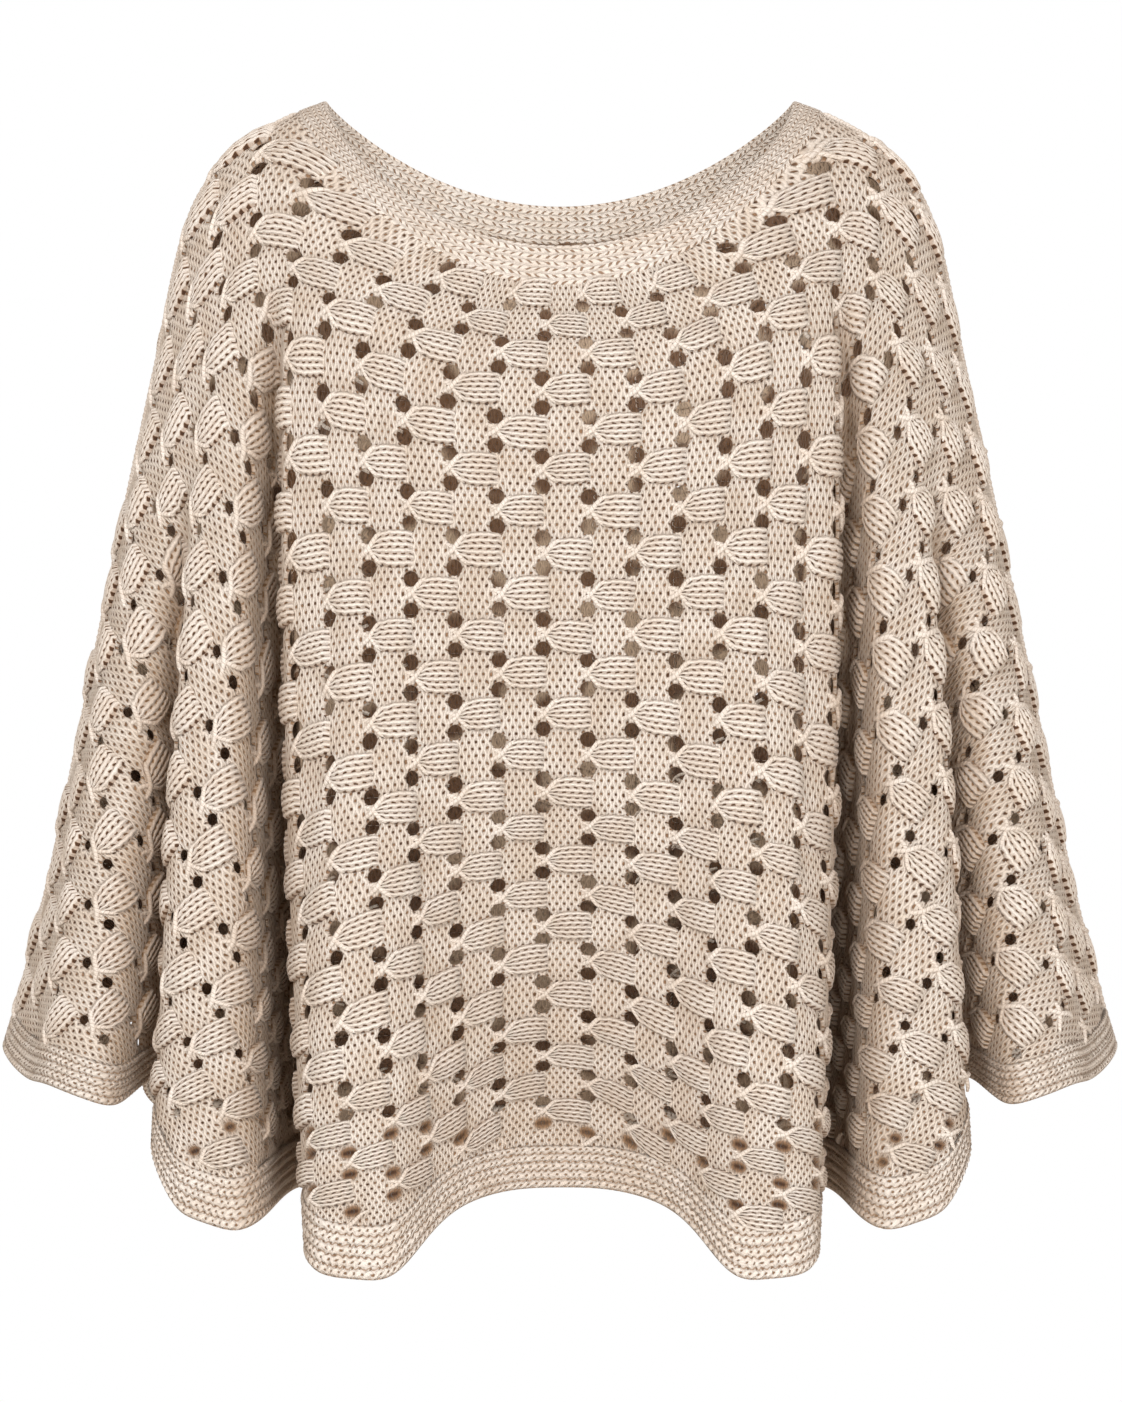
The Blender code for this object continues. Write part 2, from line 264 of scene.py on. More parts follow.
# How many degrees the rows of knitting are turned from where they would fall in a flat cut:
# above 0, a row rises more toward the panel's middle, and below 0 it drops to follow the neck.
# One column for each angle away from the middle, in degrees, and one row for each level.
TURN_AWAY = (0, 9, 18, 26, 35, 45, 60, 90)
FRONT_TURNS = (
    (0.04, (0, -18, -45, -62, -75, -66, -10, 0)),
    (0.12, (0, -10, -36, -34, -20, 0, 32, 20)),
    (0.20, (0, -4, -10, -10, 0, 12, 20, 15)),
    (0.35, (0, 0, 2, 6, 15, 15, 10, 0)),
    (0.50, (0, 3, 8, 4, 34, 15, 5, 0)),
    (0.60, (0, 8, 12, 6, 16, 8, 5, 0)),
    (0.70, (0, 18, 16, 8, 0, 5, 5, 0)),
    (0.85, (0, 36, 14, 4, -12, -8, -5, 0)),
    (0.96, (0, 38, 6, 0, -18, -14, -10, 0)),
)
BACK_TURNS = (
    (0.04, (0, -14, -30, -40, -42, -30, -5, 0)),
    (0.20, (0, -4, -8, -8, 0, 8, 10, 0)),
    (0.35, (0, 0, 0, 0, 0, 0, 0, 0)),
)
UPRIGHT_START, UPRIGHT_FADE = 0.15, 0.20     # levels below which the columns aren't turned


def grid_index(rows, columns):
    """The numbers of a grid's points, row after row."""
    return np.arange(rows * columns).reshape(rows, columns)


def squares(grid):
    """The corners of a grid's squares: upper left, lower left, lower right, upper right."""
    return grid[:-1, :-1], grid[1:, :-1], grid[1:, 1:], grid[:-1, 1:]


def local_triangles(points, corners):
    """Each triangle's area, and the gradients of its corners in its own plane."""
    first = points[corners[:, 1]] - points[corners[:, 0]]
    second = points[corners[:, 2]] - points[corners[:, 0]]
    base = np.linalg.norm(first, axis=1)
    normal = np.cross(first, second)
    doubled = np.linalg.norm(normal, axis=1)
    x_axis = first / base[:, None]
    y_axis = np.cross(normal / doubled[:, None], x_axis)
    flat = np.zeros((len(corners), 3, 2))
    flat[:, 1, 0] = base
    flat[:, 2, 0] = (second * x_axis).sum(1)
    flat[:, 2, 1] = (second * y_axis).sum(1)
    facing = np.roll(flat, -2, axis=1) - np.roll(flat, -1, axis=1)
    gradients = np.stack([-facing[..., 1], facing[..., 0]], axis=-1) / doubled[:, None, None]
    return doubled / 2, gradients


def stiffness_solver(corners, area, gradients, rows, columns):
    """Solver for the panel's stiffness equations, one column of the grid after another."""
    own = np.zeros((columns, rows, rows))
    shared = np.zeros((columns - 1, rows, rows))
    row, column = corners // columns, corners % columns
    for i, j in np.ndindex(3, 3):
        weight = area * (gradients[:, i] * gradients[:, j]).sum(1)
        for blocks, step in ((own, 0), (shared, 1)):
            here = column[:, j] == column[:, i] + step
            np.add.at(blocks, (column[here, i], row[here, i], row[here, j]), weight[here])
    own[columns // 2, 0, 0] += PIN_STIFFNESS
    inverses = [np.linalg.inv(own[0])]
    for link, block_here in zip(shared, own[1:]):
        inverses.append(np.linalg.inv(block_here - link.T @ inverses[-1] @ link))

    def solve(pull):
        carried = pull.copy()
        for k, link in enumerate(shared):
            carried[k + 1] -= link.T @ (inverses[k] @ carried[k])
        found = [inverses[-1] @ carried[-1]]
        for k in range(columns - 2, -1, -1):
            found.append(inverses[k] @ (carried[k] - shared[k] @ found[-1]))
        return np.array(found[::-1])
    return solve


def nearest_turns(flat, corners, gradients):
    """The rotation nearest to each triangle's change of shape."""
    change = np.einsum("tki,tkj->tij", flat.reshape(-1, 2)[corners], gradients)
    left, _, right = np.linalg.svd(change)
    left[np.linalg.det(left @ right) < 0, :, 1] *= -1
    return left @ right


def fan_start(points):
    """A first flat layout: an even fan with the panel's own row lengths."""
    middle = points.shape[1] // 2
    along = np.array([run_length(row) for row in points])
    along -= along[:, middle:middle + 1]
    down = run_length(points[:, middle])
    top, bottom = np.ptp(along[0]), np.ptp(along[-1])
    spread = (bottom - top) / down[-1]
    radius = (top / spread + down)[:, None]
    angle = along / radius
    return np.stack([radius * np.sin(angle), radius[0] - radius * np.cos(angle)], axis=-1)


def row_turns(table, thread, level, middle_thread):
    """The turn of the rows, in radians, for the middle of each triangle."""
    away = np.degrees(thread - middle_thread)
    rows = np.array([np.interp(np.abs(away), TURN_AWAY, turns) for _, turns in table])
    levels = np.array([place for place, _ in table])
    upper = np.clip(np.searchsorted(levels, level) - 1, 0, len(levels) - 2)
    share = smooth_step((level - levels[upper]) / (levels[upper + 1] - levels[upper]))
    each = np.arange(len(away))
    turn = rows[upper, each] * (1 - share) + rows[upper + 1, each] * share
    return np.radians(turn) * np.sign(away)


def knit_map(first, last, table):
    """A panel laid flat: its threads, levels, and knit places (across, down) in metres."""
    threads = crowded_threads(first, last, MAP_COLUMNS, BORDER_START)
    levels = np.linspace(BAND_END, BORDER_START, MAP_ROWS + 1)
    thread_grid, level_grid = np.meshgrid(threads, levels)
    points = cloth_point(thread_grid, level_grid)
    rows, columns = thread_grid.shape
    a, b, c, d = (corner.ravel() for corner in squares(grid_index(rows, columns)))
    corners = np.concatenate([np.stack([a, b, c], 1), np.stack([a, c, d], 1)])
    area, gradients = local_triangles(points.reshape(-1, 3), corners)
    solve = stiffness_solver(corners, area, gradients, rows, columns)

    def settle(turns):
        pull = np.zeros((rows * columns, 2))
        for k in range(3):
            force = area[:, None] * np.einsum("tij,tj->ti", turns, gradients[:, k])
            np.add.at(pull, corners[:, k], force)
        return solve(pull.reshape(rows, columns, 2).transpose(1, 0, 2)).transpose(1, 0, 2)

    flat = fan_start(points)
    for _ in range(EASING_ROUNDS):
        turns = nearest_turns(flat, corners, gradients)
        flat = settle(turns)

    thread, level = (grid.reshape(-1)[corners].mean(1) for grid in (thread_grid, level_grid))
    turn = row_turns(table, thread, level, (first + last) / 2)
    upright = turn * (1 - smooth_step((level - UPRIGHT_START) / UPRIGHT_FADE))
    rotation = np.stack([np.stack([np.cos(upright), -np.sin(upright)], -1),
                         np.stack([np.sin(turn), np.cos(turn)], -1)], -2)
    flat = settle(rotation @ turns)
    flat -= flat[0, columns // 2]
    return {"threads": threads, "levels": levels, "across": flat[..., 0], "down": -flat[..., 1]}


# ------------------------------------------------------------------ the stitch pattern

COLUMN_PITCH = 51.7 * MM     # one repeat of the shell stitch across
# A pinched end of a shell in the odd rows, from the middle of each panel.
FIRST_PINCH = {"front": -8.1 * MM, "back": 5.0 * MM}
# Rows, and how many millimetres their middles lie down from the neck band's edge at the
# middle of a panel. Rows on up the shoulders are negative.
ROW_TABLE = ((-14, -329), (0, 7), (2, 48), (8, 215), (13, 345), (17, 432), (20, 496), (24, 561),
             (32, 721))
ROWS_OF_TABLE, DOWN_OF_TABLE = np.array(ROW_TABLE, float).T
NET_ACROSS, NET_DOWN = 24, 6  # squares of the net in one repeat, across and down
SQUARE_ACROSS = COLUMN_PITCH / NET_ACROSS / MM
SQUARE_DOWN = 4.0            # millimetres, for shapes drawn in a row's own height
TUCK = 0.35                  # how far the net runs under band and border, in map squares
NEWTON_ROUNDS = 12
MOST_NEWTON_STEP = 3.0       # map squares
LEAST_AREA = 1e-9            # a map square's smallest area that Newton's steps divide by


def down_of_row(row):
    """Metres down the knit map of a row of the pattern, read evenly past the table's ends."""
    return np.interp(row, ROWS_OF_TABLE, DOWN_OF_TABLE) * MM


def row_of_down(down):
    return np.interp(down / MM, DOWN_OF_TABLE, ROWS_OF_TABLE)


def read_grid(grid, column, row):
    """A grid read between its points, and its changes across and down. Past its edge it runs on."""
    left = np.clip(np.floor(column).astype(int), 0, grid.shape[1] - 2)
    top = np.clip(np.floor(row).astype(int), 0, grid.shape[0] - 2)
    s, t = column - left, row - top
    a, b = grid[top, left], grid[top, left + 1]
    c, d = grid[top + 1, left], grid[top + 1, left + 1]
    value = (a * (1 - s) + b * s) * (1 - t) + (c * (1 - s) + d * s) * t
    return value, (b - a) * (1 - t) + (d - c) * t, (c - a) * (1 - s) + (d - b) * s


def find_on_map(panel, across, down):
    """Map coordinates of knit places: nearest grid point first, then Newton's steps."""
    grids = panel["across"], panel["down"]
    tree = KDTree(grids[0].size)
    for k, (u, v) in enumerate(zip(grids[0].ravel(), grids[1].ravel())):
        tree.insert((u, v, 0.0), k)
    tree.balance()
    nearest = [tree.find((u, v, 0.0))[1] for u, v in zip(across.ravel(), down.ravel())]
    nearest = np.array(nearest, float).reshape(across.shape)
    p, q = np.divmod(nearest, grids[0].shape[1])
    best, best_q, best_p = np.inf, q, p
    for _ in range(NEWTON_ROUNDS):
        (u, u_by_q, u_by_p), (v, v_by_q, v_by_p) = (read_grid(grid, q, p) for grid in grids)
        miss_u, miss_v = across - u, down - v
        miss = np.hypot(miss_u, miss_v)
        better = miss < best
        best = np.where(better, miss, best)
        best_q, best_p = np.where(better, q, best_q), np.where(better, p, best_p)
        area = u_by_q * v_by_p - u_by_p * v_by_q
        area = np.where(np.abs(area) < LEAST_AREA, LEAST_AREA, area)
        step_q = (miss_u * v_by_p - miss_v * u_by_p) / area
        step_p = (miss_v * u_by_q - miss_u * v_by_q) / area
        q = q + np.clip(step_q, -MOST_NEWTON_STEP, MOST_NEWTON_STEP)
        p = p + np.clip(step_p, -MOST_NEWTON_STEP, MOST_NEWTON_STEP)
    return best_q, best_p


def cloth_place(panel, column, row):
    """Thread and level of pattern places, held within the panel, and which lay inside it."""
    column, row = np.broadcast_arrays(column, row)
    across = column * COLUMN_PITCH + panel["first_pinch"]
    q, p = find_on_map(panel, across, down_of_row(row))
    last_q, last_p = panel["across"].shape[1] - 1, panel["across"].shape[0] - 1
    inside = (q >= 0) & (q <= last_q) & (p >= 0) & (p <= last_p)
    thread = np.interp(q, np.arange(last_q + 1), panel["threads"])
    spacing = panel["levels"][1] - panel["levels"][0]
    level = panel["levels"][0] + np.clip(p, -TUCK, last_p + TUCK) * spacing
    return thread, level, inside


def add_object(name, data, location=(0.0, 0.0, 0.0)):
    """A new object of the scene."""
    thing = bpy.data.objects.new(name, data)
    thing.location = location
    bpy.context.scene.collection.objects.link(thing)
    return thing


def new_mesh(name, vertices, faces, stitches, around=None, **values):
    """A smooth mesh object with its stitch coordinates as a UV map, and named values.

    A closed ring of quads says how many stitches it is around, so that they run over its join.
    """
    data = bpy.data.meshes.new(name)
    data.from_pydata(vertices.reshape(-1, 3).tolist(), [], faces.tolist())
    corner = np.empty(len(data.loops), np.int32)
    data.loops.foreach_get("vertex_index", corner)
    uv = np.stack([part.ravel()[corner] for part in np.broadcast_arrays(*stitches)], axis=-1)
    if around:
        across = uv[:, 0].reshape(-1, 4)
        beyond = across < across.max(axis=1, keepdims=True) - around / 2
        uv[:, 0] += around * beyond.ravel()
    layer = data.uv_layers.new(name="Stitches")
    layer.data.foreach_set("uv", uv.astype(np.float32).ravel())
    for title, value in values.items():
        layer = data.attributes.new(title, "FLOAT", "POINT")
        layer.data.foreach_set("value", value.astype(np.float32).ravel())
    data.shade_smooth()
    return add_object(name, data)


# ---- painted pleat shade: how far each place lies in a pleat, 0 in the open, 1 deep down

PLEAT_THREADS, PLEAT_LEVELS = 540, 21
PLEAT_REACH = 55             # threads looked at on each side
OPEN_SHARE, DEEP_SHARE = 0.86, 0.30    # of level directions: 0 and 1 on the painted pleat shade scale
PLEAT_SOFTENING = 2          # rounds that spread the painted pleat shade to the next threads


def pleat_grid():
    """Over a grid of levels and threads, the share of level directions that is shut off, which sets
    the painted shade in the pleats.
    """
    threads = np.arange(PLEAT_THREADS) / PLEAT_THREADS * TURN
    levels = np.linspace(0, 1, PLEAT_LEVELS)
    ring = cloth_point(*np.meshgrid(threads, levels))[..., :2]
    ahead = unit(np.roll(ring, -2, axis=1) - np.roll(ring, 2, axis=1))
    outward = np.stack([ahead[..., 1], -ahead[..., 0]], axis=-1)
    from_middle = ring - ring.mean(axis=1, keepdims=True)
    outward *= np.sign((outward * from_middle).sum((1, 2)))[:, None, None]
    free = np.zeros(ring.shape[:2])
    for direction in (-1, 1):
        widest = np.full(ring.shape[:2], QUARTER)
        for step in range(2, PLEAT_REACH):
            away = np.roll(ring, -direction * step, axis=1) - ring
            rise = (away * outward).sum(-1)
            run = (away * ahead).sum(-1) * direction
            widest = np.minimum(widest, np.where(rise > 0, np.arctan2(run, rise), QUARTER))
        free += np.clip(widest, 0, QUARTER)
    shut = smooth_step((OPEN_SHARE - free / math.pi) / (OPEN_SHARE - DEEP_SHARE))
    for _ in range(PLEAT_SOFTENING):
        shut = (np.roll(shut, 1, axis=1) + 2 * shut + np.roll(shut, -1, axis=1)) / 4
    return np.concatenate([shut, shut[:, :1]], axis=1)


def pleat_at(thread, level):
    """The painted pleat shade grid read between its points."""
    column = np.mod(thread, TURN) / TURN * PLEAT_THREADS
    return read_grid(PLEAT_SHADE_GRID, column, np.clip(level, 0, 1) * (PLEAT_LEVELS - 1))[0]


PLEAT_SHADE_GRID = pleat_grid()


# ---- eyelets of the net, in squares and millimetres from the pinch, x right and y down

EYELET_LEFT, EYELET_RIGHT = -3, 1      # squares that an eyelet takes across
EYELETS = ((-3, -1, -8.3), (1, 3, 9.4))     # top and bottom in squares, middle in mm
EYELET_CENTRE_X = -1.4
MIDDLE_COLUMN = EYELET_CENTRE_X * MM / COLUMN_PITCH       # eyelets' middles from the pinch,
MIDDLE_ROWS = np.array(EYELETS)[:, 2] / SQUARE_DOWN / NET_DOWN       # as pattern places
PULL_ROUNDS, PULL_FADE = 40, 0.82      # how the eyelets' pull spreads over the net
LIP_INWARD, LIP_DEPTH = 0.86, 2.2
PIT_DEPTH, STRAND_RISE, RIM_RISE, BRIDGE_RISE, COVERED_DEPTH = -0.35, 0.3, 0.5, 0.8, -1.0
BRIDGE_BLOCK, COVERED_BLOCK = (-1, 2, -2, 2), (-2, 3, 3, 12)   # squares: down, then across
CLEAR_LEFT, CLEAR_RIGHT = 6, 16        # squares from a pinch that the net has to reach
EYELET_HALF = {"front": (5.6, 5.5), "back": (2.1, 2.2)}   # millimetres, across and down
SMALL_EYELET_HALF = {"front": (3.2, 3.6), "back": (1.9, 2.0)}
OPEN_ACROSS, SMALL_ACROSS = 0.20, 0.27   # metres from the middle, where eyelets get smaller
EYELET_VARIETY = 0.3
VARIETY_WAVES = ((1.3, 2.9), (4.1, -1.7))   # radians a column and a row
LOWEST_EYELET = -0.612       # metres: lower ones are deep pits instead of holes, with painted shade where the hole would be
# Closed eyelets: depth of the pit in mm, and the painted shade on its floor and rim.
SHUT_DEPTH, SHUT_PIT_SHADE, SHUT_RIM_SHADE = -2.6, 3.0, 0.9
CLEAR_SIGHT = 5.5 * MM       # eyelets at the back nearer the sight of one in front are closed


def eyelet_ring(top, bottom):
    """The 12 net points round an eyelet, as rows of squares down and across from the pinch."""
    across = range(EYELET_LEFT, EYELET_RIGHT + 1)
    ring = [(top, i) for i in across]
    ring += [(j, EYELET_RIGHT) for j in range(top + 1, bottom + 1)]
    ring += [(bottom, i) for i in reversed(across)][1:]
    ring += [(j, EYELET_LEFT) for j in range(bottom - 1, top, -1)]
    return np.array(ring)


def eyelet_oval(centre_y, half_size, count):
    """Points evenly round an oval, in millimetres from the pinch, from its top left on."""
    top_middle = (EYELET_RIGHT - EYELET_LEFT) // 2
    angle = (np.arange(count) - top_middle) / count * TURN
    return np.stack([EYELET_CENTRE_X + np.sin(angle) * half_size[0],
                     centre_y - np.cos(angle) * half_size[1]], axis=-1)


def net_pull(half_size):
    """How the eyelets pull the net's points over two rows of one repeat, in millimetres."""
    pull = np.zeros((2 * NET_DOWN, NET_ACROSS, 2))
    held = np.zeros(pull.shape[:2], bool)
    for row in (0, 1):
        pinch = row * NET_DOWN + NET_DOWN // 2, 0 if row else NET_ACROSS // 2
        for top, bottom, centre_y in EYELETS:
            ring = eyelet_ring(top, bottom)
            place = tuple(((pinch + ring) % pull.shape[:2]).T)
            pull[place] = (eyelet_oval(centre_y, half_size, len(ring))
                           - ring[:, ::-1] * (SQUARE_ACROSS, SQUARE_DOWN))
            held[place] = True
    for _ in range(PULL_ROUNDS):
        around = sum(np.roll(pull, step, axis) for step in (-1, 1) for axis in (0, 1)) / 4
        pull = np.where(held[..., None], pull, around * PULL_FADE)
    return pull


def pinches_of(panel):
    """Rows and columns of all pinches that may lie on the panel, as pattern places."""
    row = row_of_down(panel["down"])
    column = (panel["across"] - panel["first_pinch"]) / COLUMN_PITCH
    rows = np.arange(math.floor(row.min()) - 1, math.ceil(row.max()) + 2)
    columns = np.arange(math.floor(column.min()) - 2, math.ceil(column.max()) + 3)
    row, column = (grid.ravel() for grid in np.meshgrid(rows, columns, indexing="ij"))
    return row, column + np.where(row % 2, 0.0, 0.5)


def eyelet_sights(panel):
    """Where the eyelets' middles lie as seen from the front: pinch by pinch, in metres."""
    row, column = (place[:, None] for place in pinches_of(panel))
    thread, level, inside = cloth_place(panel, column + MIDDLE_COLUMN, row + MIDDLE_ROWS)
    seen = cloth_point(thread, level) - np.array(CAMERA_PLACE)
    sights = seen[..., [0, 2]] / seen[..., 1:2] * -CAMERA_PLACE[1]
    return np.where(inside[..., None], sights, np.nan)


def lined_up(sights, others):
    """Which eyelets would show straight through others in front of them."""
    apart = np.hypot(*np.moveaxis(sights[:, :, None] - others.reshape(-1, 2), -1, 0))
    return (apart < CLEAR_SIGHT).any(axis=-1)


def eyelet_opening(panel, column, row):
    """From 0, small eyelets, to 1, open ones, with some variety."""
    across = np.abs(column * COLUMN_PITCH + panel["first_pinch"])
    middle = 1 - smooth_step((across - OPEN_ACROSS) / (SMALL_ACROSS - OPEN_ACROSS))
    first, second = (np.sin(a * column + b * row) for a, b in VARIETY_WAVES)
    variety = 0.5 + 0.5 * first * second
    return np.clip(middle * (1 - EYELET_VARIETY) + EYELET_VARIETY * variety, 0, 1)


def lay_net(panel, side):
    """The net over a panel: squares i and j, pattern and cloth places, and its pinches."""
    pinch_row, pinch_column = pinches_of(panel)
    first_row, first_column = pinch_row.min(), math.floor(pinch_column.min())
    rows, columns = pinch_row.max() + 1 - first_row, math.ceil(pinch_column.max()) - first_column
    j, i = np.mgrid[:rows * NET_DOWN + 1, :columns * NET_ACROSS + 1]
    opening = eyelet_opening(panel, first_column + i / NET_ACROSS,
                             first_row + j / NET_DOWN - 0.5)[..., None]
    place = (j + NET_DOWN * (first_row % 2)) % (2 * NET_DOWN), i % NET_ACROSS
    shift = (net_pull(SMALL_EYELET_HALF[side])[place] * (1 - opening)
             + net_pull(EYELET_HALF[side])[place] * opening)
    column = first_column + (i * SQUARE_ACROSS + shift[..., 0]) * MM / COLUMN_PITCH
    row = first_row + (j - NET_DOWN / 2 + shift[..., 1] / SQUARE_DOWN) / NET_DOWN
    thread, level, inside = cloth_place(panel, column, row)
    return {"i": i, "j": j, "column": column, "row": row, "thread": thread, "level": level,
            "inside": inside, "pinch_j": (pinch_row - first_row) * NET_DOWN + NET_DOWN // 2,
            "pinch_i": ((pinch_column - first_column) * NET_ACROSS).astype(int),
            "pinch_row": pinch_row, "pinch_column": pinch_column}


def block(pinch, top, bottom, left, right):
    """Slices of the net, in squares down and across from a pinch."""
    return slice(pinch[0] + top, pinch[0] + bottom), slice(pinch[1] + left, pinch[1] + right)


def carve_net(net, closed):
    """Sets the net's relief, and painted shade on closed eyelets, which are pits that look like
    holes. Returns its holes, and the ring and middle of each.

    A ring is its points' rows and columns in the net, and a middle is a pattern place.
    """
    net["height"] = height = np.where((net["i"] + net["j"]) % 2 == 0, PIT_DEPTH, STRAND_RISE)
    net["hole_shade"] = hole_shade = np.zeros(height.shape)
    drop = cloth_point(net["thread"], net["level"])[..., 2]
    hole = np.zeros_like(net["inside"][1:, 1:])
    rings, middles = [], []
    for n, pinch in enumerate(zip(net["pinch_j"], net["pinch_i"])):
        if not CLEAR_LEFT <= pinch[1] <= hole.shape[1] - CLEAR_RIGHT:
            continue
        height[block(pinch, *BRIDGE_BLOCK)] = BRIDGE_RISE
        height[block(pinch, *COVERED_BLOCK)] = COVERED_DEPTH
        for k, (top, bottom, _) in enumerate(EYELETS):
            ring = tuple((pinch + eyelet_ring(top, bottom)).T)
            if closed[n, k] or not net["inside"][ring].all():
                continue
            if drop[ring].min() < LOWEST_EYELET:
                floor = block(pinch, top + 1, bottom, EYELET_LEFT + 1, EYELET_RIGHT)
                hole_shade[ring] = SHUT_RIM_SHADE
                height[floor], hole_shade[floor] = SHUT_DEPTH, SHUT_PIT_SHADE
                continue
            height[ring] = RIM_RISE
            hole[block(pinch, top, bottom, EYELET_LEFT, EYELET_RIGHT)] = True
            rings.append(ring)
            middles.append((net["pinch_column"][n] + MIDDLE_COLUMN,
                            net["pinch_row"][n] + MIDDLE_ROWS[k]))
    return hole, np.array(rings).transpose(1, 0, 2), np.array(middles).T[:, :, None]


def make_net(name, panel, side, closed):
    """The knitted ground with its eyelets, as one sheet with turned-in lips."""
    net = lay_net(panel, side)
    hole, rings, middles = carve_net(net, closed)
    a, b, c, d = squares(net["inside"])
    used = (a | b | c | d) & ~hole
    index = grid_index(*net["inside"].shape)
    a, b, c, d = (corner[used] for corner in squares(index))
    from_pit = squares(net["i"] + net["j"])[0][used][:, None] % 2 == 0
    one = np.where(from_pit, np.stack([a, b, d], 1), np.stack([a, b, c], 1))
    two = np.where(from_pit, np.stack([b, c, d], 1), np.stack([a, c, d], 1))

    # Lips: a second ring inside and behind each eyelet's own, with painted shade as if deep in the
    # hole.
    ring = tuple(rings)
    column, row = (net[key][ring] * LIP_INWARD + middle * (1 - LIP_INWARD)
                   for key, middle in zip(("column", "row"), middles))
    thread, level, _ = cloth_place(panel, column, row)
    lips = {"i": net["i"][ring], "j": net["j"][ring], "thread": thread, "level": level,
            "height": np.full(row.shape, RIM_RISE - LIP_DEPTH), "hole_shade": np.ones(row.shape)}
    outer, inner = index[ring], index.size + grid_index(*row.shape)
    next_outer, next_inner = np.roll(outer, -1, axis=1), np.roll(inner, -1, axis=1)
    turned = np.stack([outer, inner, next_inner, outer, next_inner, next_outer], axis=-1)

    faces = np.concatenate([one, two, turned.reshape(-1, 3)])
    kept, faces = np.unique(faces, return_inverse=True)
    at = {key: np.concatenate([net[key].ravel(), lips[key].ravel()])[kept] for key in lips}
    points = on_cloth(at["thread"], at["level"], at["height"] * MM)
    return new_mesh(name, points, faces.reshape(-1, 3), (at["i"] / 2, at["j"]),
                    crevice=at["hole_shade"], pleat=pleat_at(at["thread"], at["level"]))


# ---- shells: six cords fanning from a pinch, in millimetres, x right and y down

CORDS = 6
CORD_STEPS = (-1.0, -0.6, 0.0, 0.6)    # places across a cord, from its groove
CORD_HEIGHT = 1.3
SHELL_ALONG = (0.0, 2.8, 7.0, 13.0, 19.5, 25.2, 27.2)
SHELL_HEIGHT = (1.4, 2.1, 2.7, 3.1, 2.9, 2.2, -0.9)
SHELL_HALF_WIDTH, SHELL_SMALLEST, SHELL_OPENING = 10.0, 1.9, 11.5
OPENING_POWER = 0.9          # how soon a shell widens
TAPER_SHARE, TAPER_START, TAPER_LENGTH = 0.07, 18, 11
DOME_FALL, DOME_POWER = 0.55, 2.2      # how far and how late a shell falls to its sides
NARROW_RELIEF = 0.45         # the cords' relief where the shell has no width, as a share
END_ROUNDING = 1.6           # how much sooner the grooves end than the cords, in millimetres
END_DEPTH = -0.8
SKIRT_ACROSS, SKIRT_DEPTH = 1.02, -2.6      # turned down at both sides
MOST_TILT, MOST_SHIFT, MOST_START = math.radians(6), 0.8, 8
SIZE_RANGE, SWELL_RANGE = (0.94, 1.05), (0.85, 1.12)
SHELL_KEPT_SHARE = 0.72      # a shell with less of itself on the panel is left out
CORD_SPOT_PITCH = 4.8


def shell_shape():
    """One shell as a grid: x, y, height, and its texture places."""
    steps = np.tile(CORD_STEPS, CORDS)
    cord_place = np.repeat(np.arange(CORDS), len(CORD_STEPS)) + 0.5 + steps / 2
    across = cord_place / CORDS * 2 - 1
    across = np.array([-SKIRT_ACROSS, *across, 1.0, SKIRT_ACROSS])
    cord_height = np.array([SKIRT_DEPTH, *np.sqrt(1 - steps * steps), 0, SKIRT_DEPTH])
    cord_place = np.array([0, *cord_place, CORDS, CORDS])
    along = np.array(SHELL_ALONG)[:, None]
    opening = np.sin(np.clip(along / SHELL_OPENING, 0, 1) * QUARTER) ** OPENING_POWER
    taper = 1 - TAPER_SHARE * smooth_step((along - TAPER_START) / TAPER_LENGTH)
    half = (SHELL_SMALLEST + (SHELL_HALF_WIDTH - SHELL_SMALLEST) * opening) * taper
    fall = DOME_FALL * np.clip(np.abs(across), 0, 1) ** DOME_POWER
    relief = NARROW_RELIEF + (1 - NARROW_RELIEF) * half / SHELL_HALF_WIDTH
    height = np.array(SHELL_HEIGHT)[:, None] * (1 - fall) + CORD_HEIGHT * cord_height * relief
    height[-1] = np.minimum(height[-1], END_DEPTH)
    x = np.repeat(along, len(across), axis=1)
    x[-1] += END_ROUNDING * (cord_height.clip(0) - 1)
    return x, half * across, height, x / CORD_SPOT_PITCH, cord_place


def hand_of_knitter(panel, seed):
    """Small chance differences between the shells: tilt, size and shift in millimetres."""
    chance = np.random.default_rng(seed)
    count = pinches_of(panel)[0].size
    return {"tilt": chance.normal(0, MOST_TILT / 2, count).clip(-MOST_TILT, MOST_TILT),
            "size": chance.uniform(*SIZE_RANGE, count),
            "shift": chance.uniform(-MOST_SHIFT, MOST_SHIFT, (count, 2)),
            "swell": chance.uniform(*SWELL_RANGE, count),
            "start": chance.uniform(0, MOST_START, count)}


def scatter(panel, hand, x, y, share):
    """A shape drawn from the pinch, carried to every pinch: thread, level and which stay."""
    cosine, sine = (f(hand["tilt"])[:, None] * hand["size"][:, None] for f in (np.cos, np.sin))
    right = x.ravel() * cosine - y.ravel() * sine + hand["shift"][:, :1]
    down = x.ravel() * sine + y.ravel() * cosine + hand["shift"][:, 1:]
    row, column = (place[:, None] for place in pinches_of(panel))
    thread, level, inside = cloth_place(panel, column + right * MM / COLUMN_PITCH,
                                        row + down / SQUARE_DOWN / NET_DOWN)
    stay = inside.mean(axis=1) >= share
    return thread[stay], level[stay], stay


def grid_faces(rows, columns):
    a, b, c, d = squares(grid_index(rows, columns))
    return np.stack([a, d, c, b], axis=-1).reshape(-1, 4)


